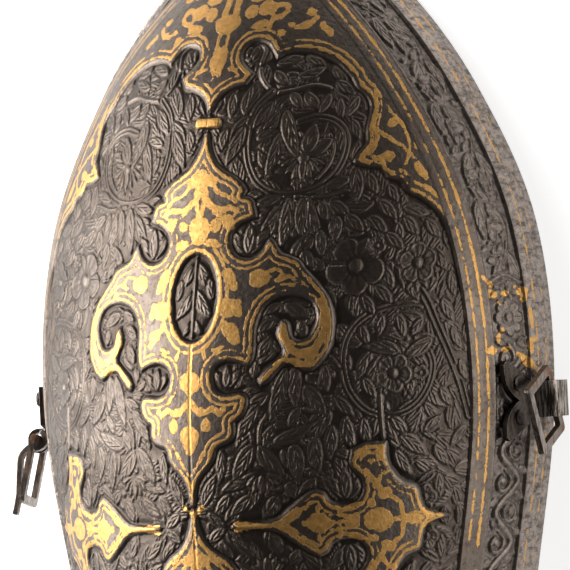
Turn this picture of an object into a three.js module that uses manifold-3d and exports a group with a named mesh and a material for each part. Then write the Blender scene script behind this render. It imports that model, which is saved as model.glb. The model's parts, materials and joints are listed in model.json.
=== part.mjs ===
// Forearm guard: one curved plate of chiselled steel with a closed, pointed elbow end and an open wrist
// end, lying on its two long rims, and the two hinged strap fittings riveted to its borders.
// Units are millimetres. X runs across the arm, Y along it with the elbow at +Y, Z up.
// The origin is the middle of the whole object's footprint, on the surface that it lies on.

import * as THREE from 'three';
import { mergeVertices } from 'three/addons/utils/BufferGeometryUtils.js';
import Module from 'manifold-3d';

const wasm = await Module();
wasm.setup();

// The plate
const guardLength = 300;
const guardHalfWidth = 56.1;
const crownHeight = 51.4;
const plateThickness = 1.8;
const sectionPower = 1.8;      // 2 would be a half ellipse, less is more pointed at the crown

// The border, measured along the skin from each long rim
const rimWidth = 8.6;
const bandWidth = 10.2;
const railWidth = 5.7;
const bandDepth = 0.7;
const fieldDepth = 0.7;
const stepRun = 0.35;          // how far a step between two levels takes along the skin
const wristRimWidth = 7;
const borderFadeArc = 30;      // where half the skin is shorter than this, the border narrows with it

// The raised cartouches
const medallionLength = 75;
const medallionHalfWidth = 29;
const firstMedallionStart = 43;
const medallionCount = 3;
const elbowPanelLength = 38;
const elbowPanelHalfWidth = 55;
const starStart = 8;
const starWidth = 44.8;
const starHalfLength = 15.7;
const cartoucheDrop = 0.06;    // cartouches lie this much below the rails that they run into
const cartoucheRoot = 0.45;    // and are rooted this deep under the ground
const midLine = 121.5;         // the scribed line that the side ornament is mirrored about, from the elbow

// Fittings
const clearance = 0.3;         // between any two pieces
const sheet = 0.9;             // thickness of the riveted sheet plates
const fittingPlace = 99.6;     // the fittings' distance from the elbow
const rivetRadius = 0.9;
const rivetHeadRadius = 1.7;
const rivetHeadHeight = 0.8;

const forkReach = 17.8;        // right plate, from the rim's edge along the skin to its fork tips
const forkWidth = 16;
const forkWall = 0.3;          // sheet left between a rivet's hole and the fork's notch
const neckWidth = 7.2;
const neckRise = 1.4;          // stretch of skin past the eye over which the neck rises to it
const forkRivetReach = 13.2;
const forkRivetSpacing = 6.8;

const frameWidth = 12;
const frameLength = 14.7;
const barWidth = 1.8;
const barThickness = 1.2;
const frameTurn = 25;          // degrees that the right frame hangs askew in its eye
const eyeLift = 4.4;           // height of the right hinge line above the rim's edge

const buckleWidth = 12.5;
const buckleLength = 14.5;
const buckleTurn = 8;          // degrees askew in its eye
const buckleSwing = 12;        // degrees off the skin
const hingePlateLength = 11;
const hingePlateWidth = 9;
const hingePlatePlace = 98.1;  // middle of the left plate, from the elbow
const hingePlateHeight = 10;   // and from the rim's edge along the skin
const hingeRivetSpacing = 4.5;
const hingeRivetInset = 2.6;
const leftEyeWidth = 4.4;
const tongueWidth = 2.2;
const tongueThickness = 1.1;
const tongueOverhang = 2.6;    // how far the tongue's point passes the free bar
const tongueRise = 1;          // height of its S over the window
const frameCorner = 0.9;       // outer corner radius of the right frame
const buckleCorner = 1.6;      // and of the buckle
const windowCorner = 0.3;      // least corner radius of a window
const rivetDomeShare = 0.8;    // width and height of the shoulder of a rivet's dome
const rivetDomeRise = 0.65;
const forkTipBlunt = 0.8;      // the fork's tips are cut square by this much

// Facets
const rowCount = 36;           // rows of corners along the plate
const rowCrowding = 1.7;       // above 1 the rows crowd towards the elbow's point
const fieldColumns = 14;       // faces across the field between the borders
const innerColumns = 20;       // faces across the hollow side
const layerRows = 22;
const layerColumns = 16;
const layerStart = 6;          // where the cartouches' layer starts, from the elbow
const cornersPerPoint = 1.3;   // corners of an outline for each point of its table
const ovalCorners = 20;
const holeSides = 8;
const rivetSides = 10;
const cornerSteps = 3;
const neckSteps = 6;
const tongueSteps = 12;

// Arcs of the strips that are bent round the hinge bars, in degrees from the outward direction
const rightEyeArc = { from: 52, to: -118, steps: 9 };
const leftEyeArc = { from: 179, to: -100, steps: 13 };
const tongueLoopArc = { from: 250, to: 60, steps: 9 };

const degree = Math.PI / 180;

// Sections of the plate, from the elbow's point to the wrist. Each length is a share of the named size.
const sections = [
  // along the guard, half width, crown height
  { along: 0, width: 0, height: 0 },
  { along: 0.0133, width: 0.254, height: 0.167 },
  { along: 0.0533, width: 0.511, height: 0.434 },
  { along: 0.12, width: 0.76, height: 0.68 },
  { along: 0.2133, width: 0.964, height: 0.85 },
  { along: 0.3333, width: 1, height: 1 },
  { along: 0.48, width: 0.873, height: 0.984 },
  { along: 0.6533, width: 0.747, height: 0.869 },
  { along: 0.8333, width: 0.635, height: 0.749 },
  { along: 1, width: 0.597, height: 0.661 },
];

// Right half of the central cartouche. Each row is one smooth stroke; strokes meet at corners.
// across is a share of the medallion's half width, along of its length from the elbow-side point.
const medallionStrokes = [
  [[0.02, 0], [0.04, 0.04], [0.08, 0.073], [0.14, 0.1], [0.26, 0.128], [0.33, 0.16], [0.31, 0.176]],
  [[0.31, 0.176], [0.38, 0.187], [0.42, 0.235]],
  [[0.42, 0.235], [0.3, 0.252], [0.245, 0.28], [0.255, 0.312], [0.31, 0.336], [0.39, 0.341], [0.46, 0.325],
    [0.5, 0.3], [0.517, 0.288]],
  [[0.517, 0.288], [0.56, 0.304], [0.6, 0.33], [0.67, 0.341], [0.74, 0.355], [0.78, 0.377]],
  [[0.78, 0.377], [0.86, 0.41], [0.96, 0.46], [1, 0.52], [0.985, 0.585], [0.91, 0.63], [0.83, 0.648],
    [0.735, 0.627]],
  [[0.735, 0.627], [0.665, 0.628], [0.6, 0.655], [0.56, 0.672], [0.51, 0.679], [0.49, 0.66]],
  [[0.49, 0.66], [0.54, 0.637], [0.655, 0.6], [0.648, 0.58], [0.61, 0.54], [0.64, 0.507]],
  [[0.64, 0.507], [0.686, 0.516], [0.717, 0.555], [0.776, 0.564], [0.835, 0.553], [0.88, 0.51],
    [0.848, 0.469], [0.78, 0.452], [0.69, 0.445], [0.586, 0.452], [0.51, 0.475], [0.465, 0.52],
    [0.462, 0.575], [0.45, 0.61], [0.42, 0.63]],
  [[0.42, 0.63], [0.35, 0.617], [0.262, 0.612], [0.19, 0.625], [0.166, 0.65], [0.186, 0.68], [0.25, 0.697],
    [0.36, 0.694]],
  [[0.36, 0.694], [0.407, 0.701], [0.42, 0.727], [0.38, 0.76], [0.325, 0.773]],
  [[0.325, 0.773], [0.33, 0.797], [0.3, 0.821], [0.2, 0.84], [0.18, 0.864], [0.14, 0.889], [0.08, 0.913],
    [0.04, 0.94], [0.02, 0.99]],
];
const ovalHalfWidth = 0.17;    // carved oval in its middle, as shares of the medallion's sizes
const ovalHalfLength = 0.115;
const ovalMiddle = 0.44;

// Right half of the lower edge of the elbow panel, from its pendant point to where it meets the border.
// across is a share of the panel's half width, along of its length from the elbow's point.
const elbowPanelStrokes = [
  [[0.011, 1.02], [0.022, 0.975], [0.045, 0.934], [0.085, 0.903], [0.127, 0.889]],
  [[0.127, 0.889], [0.153, 0.832]],
  [[0.153, 0.832], [0.12, 0.795], [0.095, 0.753], [0.091, 0.705], [0.113, 0.666], [0.149, 0.658],
    [0.185, 0.679], [0.211, 0.726], [0.229, 0.758]],
  [[0.229, 0.758], [0.251, 0.737], [0.309, 0.726], [0.382, 0.747], [0.455, 0.8], [0.518, 0.879]],
  [[0.518, 0.879], [0.545, 0.937], [0.587, 0.99], [0.604, 1.05], [0.596, 1.145], [0.6, 1.224], [0.573, 1.28]],
  [[0.573, 1.28], [0.56, 1.33], [0.6, 1.358], [0.66, 1.374], [0.691, 1.426]],
  [[0.691, 1.426], [0.736, 1.447], [0.764, 1.5], [0.818, 1.54], [0.873, 1.6], [0.918, 1.684], [0.945, 1.776],
    [0.982, 1.895], [1.01, 2.05]],
];

// Elbow-side half of the star cartouche on the mid-line, from its inner tip to its outer one.
// across is a share of its width, along of its half length above the mid-line.
const starStrokes = [
  [[0, 0.02], [0.13, 0.045], [0.21, 0.1], [0.268, 0.22], [0.335, 0.363], [0.38, 0.425]],
  [[0.38, 0.425], [0.422, 0.376], [0.438, 0.287], [0.48, 0.223], [0.547, 0.223], [0.589, 0.338], [0.589, 0.51],
    [0.542, 0.694], [0.547, 0.905]],
  [[0.547, 0.905], [0.614, 0.975], [0.71, 0.98]],
  [[0.71, 0.98], [0.714, 0.732], [0.77, 0.49], [0.844, 0.395], [0.864, 0.223], [0.884, 0.096], [0.938, 0.03],
    [1, 0]],
];

// The tongue's S: along is a share of its way from the hinge bar to the free bar, rise of tongueRise.
const tongueCurve = [
  { along: 0.3, rise: 1 },
  { along: 0.5, rise: 0.9 },
  { along: 0.8, rise: 0.3 },
  { along: 1, rise: 0 },
];

// Shape of the skin

const rootShares = sections.map((row) => Math.sqrt(row.along));

// Smooth value of one column of the section table, against the square root of the share along the guard,
// so that the elbow's point is blunt and round.
function sectionValue(column, alongShare) {
  const root = Math.sqrt(Math.max(alongShare, 0));
  const last = sections.length - 1;
  let i = 0;
  while (i < last - 1 && root > rootShares[i + 1]) i += 1;
  const rise = (k) => (sections[k + 1][column] - sections[k][column]) / (rootShares[k + 1] - rootShares[k]);
  const slope = (k) => {
    if (k === 0) return rise(0);
    if (k === last) return rise(last - 1);
    const before = rootShares[k] - rootShares[k - 1];
    const after = rootShares[k + 1] - rootShares[k];
    return (rise(k) * before + rise(k - 1) * after) / (before + after);
  };
  const span = rootShares[i + 1] - rootShares[i];
  const t = (root - rootShares[i]) / span;
  const ease = 3 * t ** 2 - 2 * t ** 3;
  return (1 - ease) * sections[i][column] + ease * sections[i + 1][column]
    + (t ** 3 - 2 * t ** 2 + t) * span * slope(i) + (t ** 3 - t ** 2) * span * slope(i + 1);
}

const sectionCache = new Map();
const sectionSteps = 160;

// One half section at a distance from the elbow: points from the crown to the rim and the skin's length.
function halfSection(distance) {
  const key = distance.toFixed(4);
  if (sectionCache.has(key)) return sectionCache.get(key);
  const width = guardHalfWidth * sectionValue('width', distance / guardLength);
  const height = crownHeight * sectionValue('height', distance / guardLength);
  const points = [];
  let length = 0;
  for (let i = 0; i <= sectionSteps; i += 1) {
    const angle = (Math.PI / 2) * (i / sectionSteps);
    const x = width * Math.sin(angle) ** (2 / sectionPower);
    const z = i === sectionSteps ? 0 : height * Math.cos(angle) ** (2 / sectionPower);
    if (i > 0) length += Math.hypot(x - points[i - 1].x, z - points[i - 1].z);
    points.push({ x, z, length });
  }
  const section = { points, length };
  sectionCache.set(key, section);
  return section;
}

// Point of the smooth skin: across is measured along the skin from the crown, + to the right.
function skinPoint(across, distance) {
  const { points, length } = halfSection(distance);
  const reach = Math.min(Math.abs(across), length);
  let i = 1;
  while (i < points.length - 1 && points[i].length < reach) i += 1;
  const step = points[i].length - points[i - 1].length;
  const t = step > 0 ? (reach - points[i - 1].length) / step : 0;
  const x = points[i - 1].x + t * (points[i].x - points[i - 1].x);
  const z = points[i - 1].z + t * (points[i].z - points[i - 1].z);
  return new THREE.Vector3(Math.sign(across) * x, guardLength / 2 - distance, z);
}

const probe = 0.25;            // step of the differences that the skin's normal is taken from

function skinNormal(across, distance) {
  if (distance < 1e-6) return new THREE.Vector3(0, 1, 0);
  const half = halfSection(distance).length;
  const share = across / half;
  const near = Math.max(distance - probe, distance / 2);
  const far = distance + probe;
  const alongSkin = skinPoint(share * halfSection(far).length, far)
    .sub(skinPoint(share * halfSection(near).length, near));
  const low = Math.max(across - probe, -half);
  const high = Math.min(across + probe, half);
  const acrossSkin = skinPoint(high, distance).sub(skinPoint(low, distance));
  const normal = alongSkin.cross(acrossSkin).normalize();
  if (half - Math.abs(across) < probe) normal.setZ(0).normalize();
  return normal;
}

function liftedPoint(across, distance, lift) {
  return skinPoint(across, distance).addScaledVector(skinNormal(across, distance), lift);
}

// Near the elbow's point both borders narrow so that they meet there.
function borderScale(halfLength) {
  return halfLength / (halfLength ** 4 + borderFadeArc ** 4) ** 0.25;
}

// Solids

function closedGeometry(positions, triangles) {
  const geometry = new THREE.BufferGeometry();
  geometry.setAttribute('position', new THREE.Float32BufferAttribute(positions, 3));
  geometry.setIndex(triangles);
  return geometry;
}

function toSolid(geometry) {
  const bare = geometry.clone();
  bare.deleteAttribute('normal');
  bare.deleteAttribute('uv');
  const merged = mergeVertices(bare, 1e-4);
  return new wasm.Manifold(new wasm.Mesh({
    numProp: 3,
    vertProperties: new Float32Array(merged.attributes.position.array),
    triVerts: new Uint32Array(merged.index.array),
  }));
}

function toGeometry(solid) {
  const mesh = solid.getMesh();
  const positions = [];
  for (let i = 0; i < mesh.numVert; i += 1) {
    for (let axis = 0; axis < 3; axis += 1) positions.push(mesh.vertProperties[i * mesh.numProp + axis]);
  }
  return closedGeometry(positions, Array.from(mesh.triVerts));
}

// Distances from the elbow at which the plate has a row of corners, closer together at the point.
function rowDistances() {
  const rows = [];
  const fieldEnd = guardLength - wristRimWidth;
  for (let i = 0; i <= rowCount; i += 1) rows.push((fieldEnd - stepRun) * (i / rowCount) ** rowCrowding);
  rows.push(fieldEnd, guardLength);
  return rows;
}

// Corners across the outer skin: across in millimetres and how deep the skin is cut there.
function outerColumns(distance) {
  const half = halfSection(distance).length;
  const scale = borderScale(half);
  const bandStart = rimWidth * scale;
  const bandEnd = (rimWidth + bandWidth) * scale;
  const fieldStart = (rimWidth + bandWidth + railWidth) * scale;
  const step = stepRun * scale;
  const field = distance > guardLength - wristRimWidth - stepRun / 2 ? 0 : fieldDepth;
  const border = [
    [0, 0], [bandStart / 2, 0], [bandStart, 0], [bandStart + step, bandDepth],
    [(bandStart + bandEnd) / 2, bandDepth], [bandEnd - step, bandDepth], [bandEnd, 0],
    [(bandEnd + fieldStart) / 2, 0], [fieldStart, 0],
  ];
  const shallow = Math.min(1, half / borderFadeArc);
  const columns = border.map(([edge, depth]) => ({ across: edge - half, depth: depth * shallow }));
  const fieldHalf = half - fieldStart - step;
  for (let i = 0; i <= fieldColumns; i += 1) {
    columns.push({ across: fieldHalf * ((2 * i) / fieldColumns - 1), depth: field * shallow });
  }
  for (const [edge, depth] of border.reverse()) columns.push({ across: half - edge, depth: depth * shallow });
  return columns;
}

// Joins two rows of corners that run side by side, each with its own number of corners.
function stitch(triangles, first, second, firstPlace, secondPlace) {
  let i = 0;
  let j = 0;
  while (i < first.length - 1 || j < second.length - 1) {
    const stepFirst = j === second.length - 1
      || (i < first.length - 1 && firstPlace[i + 1] + firstPlace[i] <= secondPlace[j + 1] + secondPlace[j]);
    if (stepFirst) {
      triangles.push(first[i], first[i + 1], second[j]);
      i += 1;
    } else {
      triangles.push(first[i], second[j + 1], second[j]);
      j += 1;
    }
  }
}

function plateSolid() {
  const positions = [];
  const triangles = [];
  const addPoint = (point) => {
    positions.push(point.x, point.y, point.z);
    return positions.length / 3 - 1;
  };
  const outerTip = addPoint(new THREE.Vector3(0, guardLength / 2, 0));
  const innerTip = addPoint(new THREE.Vector3(0, guardLength / 2 - plateThickness, 0));
  const outerRows = [];
  const innerRows = [];
  const places = [];
  for (const distance of rowDistances().slice(1)) {
    const half = halfSection(distance).length;
    const pinned = (point, across) => {
      if (Math.abs(Math.abs(across) - half) < 1e-6) point.setZ(0);
      if (distance === guardLength) point.setY(-guardLength / 2);
      return point;
    };
    const columns = outerColumns(distance);
    outerRows.push(columns.map(({ across, depth }) => (
      addPoint(pinned(liftedPoint(across, distance, -depth), across)))));
    const inner = [];
    const innerPlace = [];
    for (let i = 0; i <= innerColumns; i += 1) {
      const across = half * ((2 * i) / innerColumns - 1);
      inner.push(addPoint(pinned(liftedPoint(across, distance, -plateThickness), across)));
      innerPlace.push(across);
    }
    innerRows.push(inner);
    places.push({ outer: columns.map((column) => column.across), inner: innerPlace });
  }
  const skin = (rows, tip, flip) => {
    const face = (a, b, c) => triangles.push(...(flip ? [a, c, b] : [a, b, c]));
    for (let i = 0; i < rows[0].length - 1; i += 1) face(tip, rows[0][i], rows[0][i + 1]);
    for (let r = 0; r < rows.length - 1; r += 1) {
      for (let i = 0; i < rows[r].length - 1; i += 1) {
        face(rows[r][i], rows[r + 1][i], rows[r + 1][i + 1]);
        face(rows[r][i], rows[r + 1][i + 1], rows[r][i + 1]);
      }
    }
  };
  skin(outerRows, outerTip, false);
  skin(innerRows, innerTip, true);
  const lastOuter = outerRows[0].length - 1;
  for (const [outerColumn, innerColumn, flip] of [[0, 0, false], [lastOuter, innerColumns, true]]) {
    const outer = [outerTip, ...outerRows.map((row) => row[outerColumn])];
    const inner = [innerTip, ...innerRows.map((row) => row[innerColumn])];
    for (let r = 0; r < outer.length - 1; r += 1) {
      const faces = [[outer[r], inner[r], inner[r + 1]], [outer[r], inner[r + 1], outer[r + 1]]];
      for (const [a, b, c] of faces) triangles.push(...(flip ? [a, c, b] : [a, b, c]));
    }
  }
  const end = outerRows.length - 1;
  stitch(triangles, innerRows[end], outerRows[end], places[end].inner, places[end].outer);
  return toSolid(closedGeometry(positions, triangles));
}

// A layer of skin over the field, from under the ground to the cartouches' level.
function layerSolid(fromDistance, toDistance) {
  const rows = layerRows;
  const columns = layerColumns;
  const positions = [];
  const triangles = [];
  const place = (i, j, level) => level * (rows + 1) * (columns + 1) + i * (columns + 1) + j;
  for (const lift of [-cartoucheDrop, -fieldDepth - cartoucheRoot]) {
    for (let i = 0; i <= rows; i += 1) {
      const distance = fromDistance + (toDistance - fromDistance) * (i / rows);
      const half = halfSection(distance).length;
      const reach = half - (rimWidth + bandWidth + railWidth / 2) * borderScale(half);
      for (let j = 0; j <= columns; j += 1) {
        const point = liftedPoint(reach * ((2 * j) / columns - 1), distance, lift);
        positions.push(point.x, point.y, point.z);
      }
    }
  }
  const quad = (a, b, c, d) => triangles.push(a, b, c, a, c, d);
  for (let i = 0; i < rows; i += 1) {
    for (let j = 0; j < columns; j += 1) {
      quad(place(i, j, 0), place(i + 1, j, 0), place(i + 1, j + 1, 0), place(i, j + 1, 0));
      quad(place(i, j, 1), place(i, j + 1, 1), place(i + 1, j + 1, 1), place(i + 1, j, 1));
    }
    quad(place(i, 0, 0), place(i, 0, 1), place(i + 1, 0, 1), place(i + 1, 0, 0));
    quad(place(i, columns, 0), place(i + 1, columns, 0), place(i + 1, columns, 1), place(i, columns, 1));
  }
  for (let j = 0; j < columns; j += 1) {
    quad(place(0, j, 0), place(0, j + 1, 0), place(0, j + 1, 1), place(0, j, 1));
    quad(place(rows, j, 0), place(rows, j, 1), place(rows, j + 1, 1), place(rows, j + 1, 0));
  }
  return toSolid(closedGeometry(positions, triangles));
}

// Smooth strokes turned into corners; place() turns a row of the table into across and distance.
function strokePoints(strokes, place) {
  const points = [];
  for (const stroke of strokes) {
    const curve = new THREE.SplineCurve(stroke.map((row) => new THREE.Vector2(...row)));
    const count = stroke.length > 2 ? Math.ceil(stroke.length * cornersPerPoint) : 1;
    curve.getPoints(count).forEach((point, i) => {
      if (i > 0 || points.length === 0) points.push(point);
    });
  }
  return points.map((point) => place(point.x, point.y));
}

// Upright prism over an outline given on the skin.
function prismOver(outline) {
  const corners = outline.map(({ across, distance }) => {
    const point = skinPoint(across, distance);
    return new THREE.Vector2(point.x, point.y);
  });
  const depth = 2 * crownHeight;
  return toSolid(new THREE.ExtrudeGeometry(new THREE.Shape(corners), { depth, bevelEnabled: false }));
}

const mirrored = (points) => points.map(({ across, distance }) => ({ across: -across, distance })).reverse();

// How much narrower the field is at a distance than where the first medallion is widest.
function fieldShare(distance) {
  const width = (at) => {
    const half = halfSection(at).length;
    return half - (rimWidth + bandWidth + railWidth) * borderScale(half);
  };
  return Math.min(1, width(distance) / width(firstMedallionStart + medallionLength / 2));
}

function medallionPrism(start) {
  const scale = fieldShare(start + medallionLength / 2);
  const right = strokePoints(medallionStrokes, (across, along) => ({
    across: across * medallionHalfWidth * scale,
    distance: start + along * medallionLength,
  }));
  const oval = [];
  for (let i = 0; i < ovalCorners; i += 1) {
    const angle = (2 * Math.PI * i) / ovalCorners;
    oval.push({
      across: ovalHalfWidth * medallionHalfWidth * scale * Math.cos(angle),
      distance: start + (ovalMiddle + ovalHalfLength * Math.sin(angle)) * medallionLength,
    });
  }
  return prismOver([...right, ...mirrored(right)]).subtract(prismOver(oval));
}

function elbowPanelPrism() {
  const right = strokePoints(elbowPanelStrokes, (across, along) => ({
    across: across * elbowPanelHalfWidth,
    distance: along * elbowPanelLength,
  }));
  const outline = [...right, ...mirrored(right)];
  const shape = outline.map(({ across, distance }) => skinPoint(across, distance));
  const widest = shape[right.length - 1];
  const corners = shape.map((point) => new THREE.Vector2(point.x, point.y));
  corners.splice(
    right.length,
    0,
    new THREE.Vector2(2 * guardHalfWidth, widest.y),
    new THREE.Vector2(2 * guardHalfWidth, guardLength),
    new THREE.Vector2(-2 * guardHalfWidth, guardLength),
    new THREE.Vector2(-2 * guardHalfWidth, widest.y),
  );
  return toSolid(new THREE.ExtrudeGeometry(new THREE.Shape(corners), { depth: 2 * crownHeight, bevelEnabled: false }));
}

function starPrism(side) {
  const upper = strokePoints(starStrokes, (across, along) => ({
    across: starStart + across * starWidth,
    distance: midLine - along * starHalfLength,
  }));
  const lower = upper.slice(0, -1).reverse()
    .map(({ across, distance }) => ({ across, distance: 2 * midLine - distance }));
  const outline = [...upper, ...lower];
  return prismOver(side > 0 ? outline : mirrored(outline));
}

function guardGeometry() {
  const layerEnd = guardLength - wristRimWidth / 2;
  const prisms = [elbowPanelPrism(), starPrism(1), starPrism(-1)];
  for (let i = 0; i < medallionCount; i += 1) {
    prisms.push(medallionPrism(firstMedallionStart + i * medallionLength));
  }
  let plate = plateSolid();
  const layer = layerSolid(layerStart, layerEnd);
  let raised = prisms[0];
  for (const prism of prisms.slice(1)) raised = raised.add(prism);
  plate = plate.add(layer.intersect(raised));
  return toGeometry(plate);
}

// A strip of sheet: its side outline extruded across and centred on that direction.
// The outline lies in local x (outward) and z (along the strip); the strip is wide in local y.
function stripGeometry(outline, width) {
  const shape = new THREE.Shape(outline);
  const geometry = new THREE.ExtrudeGeometry(shape, { depth: width, bevelEnabled: false });
  geometry.translate(0, 0, -width / 2);
  geometry.rotateX(Math.PI / 2);
  return geometry;
}

// Both edges of a line of sheet, as one closed outline.
function thickened(centre, thickness) {
  const side = (sign) => centre.map((point, i) => {
    const before = centre[Math.max(i - 1, 0)];
    const after = centre[Math.min(i + 1, centre.length - 1)];
    const run = new THREE.Vector2().subVectors(after, before).normalize();
    return new THREE.Vector2(point.x - run.y * sign * thickness / 2, point.y + run.x * sign * thickness / 2);
  });
  return [...side(1), ...side(-1).reverse()];
}

// Arc of a strip's middle line round a hinge bar, with its ends drawn apart by a straight stretch.
function eyeArc(middle, radius, stretch, { from, to, steps }) {
  const points = [];
  for (let i = 0; i <= steps; i += 1) {
    const angle = (from + (to - from) * (i / steps)) * degree;
    const shift = Math.sign(Math.round(Math.sin(angle) * 1e6)) * stretch;
    points.push(new THREE.Vector2(middle.x + radius * Math.cos(angle), middle.y + shift + radius * Math.sin(angle)));
  }
  return points;
}

// Flat rectangular ring with a window, in local y (along the hinge bar) and z (towards its free bar).
// The hinge bar's middle line is the local y axis.
function ringGeometry(along, reach, cornerRadius) {
  const outline = (inset) => {
    const low = -barWidth / 2 + inset;
    const high = reach - barWidth / 2 - inset;
    const half = along / 2 - inset;
    const r = Math.max(cornerRadius - inset, windowCorner);
    const path = new THREE.Path();
    path.moveTo(-half + r, low);
    path.lineTo(half - r, low);
    path.absarc(half - r, low + r, r, -Math.PI / 2, 0, false);
    path.lineTo(half, high - r);
    path.absarc(half - r, high - r, r, 0, Math.PI / 2, false);
    path.lineTo(-half + r, high);
    path.absarc(-half + r, high - r, r, Math.PI / 2, Math.PI, false);
    path.lineTo(-half, low + r);
    path.absarc(-half + r, low + r, r, Math.PI, 1.5 * Math.PI, false);
    return path.getPoints(cornerSteps);
  };
  const shape = new THREE.Shape(outline(0));
  shape.holes = [new THREE.Path(outline(barWidth))];
  const geometry = new THREE.ExtrudeGeometry(shape, { depth: barThickness, bevelEnabled: false });
  geometry.translate(0, 0, -barThickness / 2);
  return geometry.applyMatrix4(new THREE.Matrix4().makeBasis(
    new THREE.Vector3(0, 1, 0),
    new THREE.Vector3(0, 0, 1),
    new THREE.Vector3(1, 0, 0),
  ));
}

// Domed rivet with its shank along local -x; its head's underside is the plane x = 0.
function rivetGeometry(shankLength) {
  const profile = [
    new THREE.Vector2(0, -shankLength),
    new THREE.Vector2(rivetRadius, -shankLength),
    new THREE.Vector2(rivetRadius, 0),
    new THREE.Vector2(rivetHeadRadius, 0),
    new THREE.Vector2(rivetHeadRadius * rivetDomeShare, rivetHeadHeight * rivetDomeRise),
    new THREE.Vector2(0, rivetHeadHeight),
  ];
  return new THREE.LatheGeometry(profile, rivetSides).rotateZ(-Math.PI / 2);
}

const holeRadius = (rivetRadius + clearance) / Math.cos(Math.PI / holeSides);

// Cuts a strip to an outline in local y and z, with a hole for each rivet.
function trimmed(geometry, outline, rivets) {
  const depth = 4 * frameWidth;
  const through = (shape) => {
    const prism = new THREE.ExtrudeGeometry(shape, { depth, bevelEnabled: false });
    prism.translate(0, 0, -depth / 2);
    return toSolid(prism.applyMatrix4(new THREE.Matrix4().makeBasis(
      new THREE.Vector3(0, 1, 0),
      new THREE.Vector3(0, 0, 1),
      new THREE.Vector3(1, 0, 0),
    )));
  };
  let solid = toSolid(geometry).intersect(through(new THREE.Shape(outline)));
  for (const { y, z } of rivets) {
    const hole = [];
    for (let i = 0; i < holeSides; i += 1) {
      const angle = (2 * Math.PI * (i + 0.5)) / holeSides;
      hole.push(new THREE.Vector2(y + holeRadius * Math.cos(angle), z + holeRadius * Math.sin(angle)));
    }
    solid = solid.subtract(through(new THREE.Shape(hole)));
  }
  return toGeometry(solid);
}

// Length of a rivet's shank from its head's underside, at a place outside the border, to just short of the
// plate's surface there.
function shankLength(place, outward) {
  const distance = guardLength / 2 - place.y;
  const side = Math.sign(place.x);
  const half = halfSection(distance).length;
  const gap = (edge) => skinPoint(side * (half - edge), distance).distanceTo(place);
  let nearest = 0;
  for (let edge = 0; edge < rimWidth + bandWidth; edge += probe) {
    if (gap(edge) < gap(nearest)) nearest = edge;
  }
  const point = skinPoint(side * (half - nearest), distance);
  const normal = skinNormal(side * (half - nearest), distance);
  const depth = nearest > rimWidth + stepRun + rivetRadius ? bandDepth : 0;
  const lean = outward.dot(normal);
  const foot = rivetRadius * Math.sqrt(Math.max(1 - lean ** 2, 0));
  return (place.clone().sub(point).dot(normal) + depth - clearance - foot) / lean;
}

const steel = (color, roughness) => new THREE.MeshStandardMaterial({ color, roughness, metalness: 1 });

function named(name, geometry, material) {
  const mesh = new THREE.Mesh(geometry, material);
  mesh.name = name;
  return mesh;
}

// Right fitting: a forked plate on the band, its neck carried over the hinge bar and round it.
// Local x is outward, y along the rim towards the elbow, z up from the rim's edge.
function rightFitting() {
  const group = new THREE.Group();
  const half = halfSection(fittingPlace).length;
  const rimX = skinPoint(half, fittingPlace).x;
  group.position.set(rimX, guardLength / 2 - fittingPlace, 0);

  const barReach = Math.hypot(barWidth, barThickness) / 2;
  const eyeRadius = barReach + clearance + sheet / 2;
  const eyeStretch = (neckWidth / 2) * Math.tan(frameTurn * degree);
  const eyeMiddle = new THREE.Vector2(clearance + barReach + clearance, eyeLift);
  const surface = (edge, lift) => {
    const point = liftedPoint(half - edge, fittingPlace, lift);
    return new THREE.Vector2(point.x - rimX, point.z);
  };
  const neckEnd = eyeLift + eyeStretch + eyeRadius + neckRise;
  const run = [];
  for (let i = 0; i <= neckSteps; i += 1) {
    const edge = forkReach + sheet + (neckEnd - forkReach - sheet) * (i / neckSteps);
    run.push(surface(edge, clearance + sheet / 2));
  }
  const centre = [...run, ...eyeArc(eyeMiddle, eyeRadius, eyeStretch, rightEyeArc)];
  const tip = surface(forkReach, 0).y;
  const waist = run[neckSteps].y;
  const rivetSpot = surface(forkRivetReach, 2 * clearance + sheet);
  // Each edge of the notch runs from a tip's corner past a rivet's hole to the middle
  const corner = new THREE.Vector2(forkWidth / 2 - forkTipBlunt, tip);
  const toRivet = new THREE.Vector2(forkRivetSpacing / 2, rivetSpot.y).sub(corner);
  const past = toRivet.angle() - Math.asin((holeRadius + forkWall) / toRivet.length());
  const notchFloor = tip - corner.x * Math.tan(past);
  const outline = [
    [neckWidth / 2, -eyeLift], [neckWidth / 2, waist], [forkWidth / 2, tip - forkTipBlunt],
    [corner.x, tip], [0, notchFloor], [-corner.x, tip],
    [-forkWidth / 2, tip - forkTipBlunt], [-neckWidth / 2, waist], [-neckWidth / 2, -eyeLift],
  ].map((corner) => new THREE.Vector2(...corner));
  const rivets = [-1, 1].map((side) => ({ y: (side * forkRivetSpacing) / 2, z: rivetSpot.y }));
  const strip = stripGeometry(thickened(centre, sheet), forkWidth + sheet);
  group.add(named('right_strap_plate', trimmed(strip, outline, rivets), steel(0x4a423c, 0.55)));

  const normal = skinNormal(half - forkRivetReach, fittingPlace);
  for (const [i, { y, z }] of rivets.entries()) {
    const place = new THREE.Vector3(rivetSpot.x, y, z);
    const outward = normal.clone().setY(0).normalize();
    const geometry = rivetGeometry(shankLength(place.clone().add(group.position), outward));
    const rivet = named(`right_rivet_${i + 1}`, geometry, steel(0x3a332e, 0.6));
    rivet.position.copy(place);
    rivet.rotation.y = -Math.atan2(normal.z, normal.x);
    group.add(rivet);
  }

  const frame = named('right_strap_frame', ringGeometry(frameLength, frameWidth, frameCorner), steel(0x5d5048, 0.5));
  frame.position.set(eyeMiddle.x, 0, eyeMiddle.y);
  frame.rotation.x = frameTurn * degree;
  group.add(frame);
  return group;
}

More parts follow.
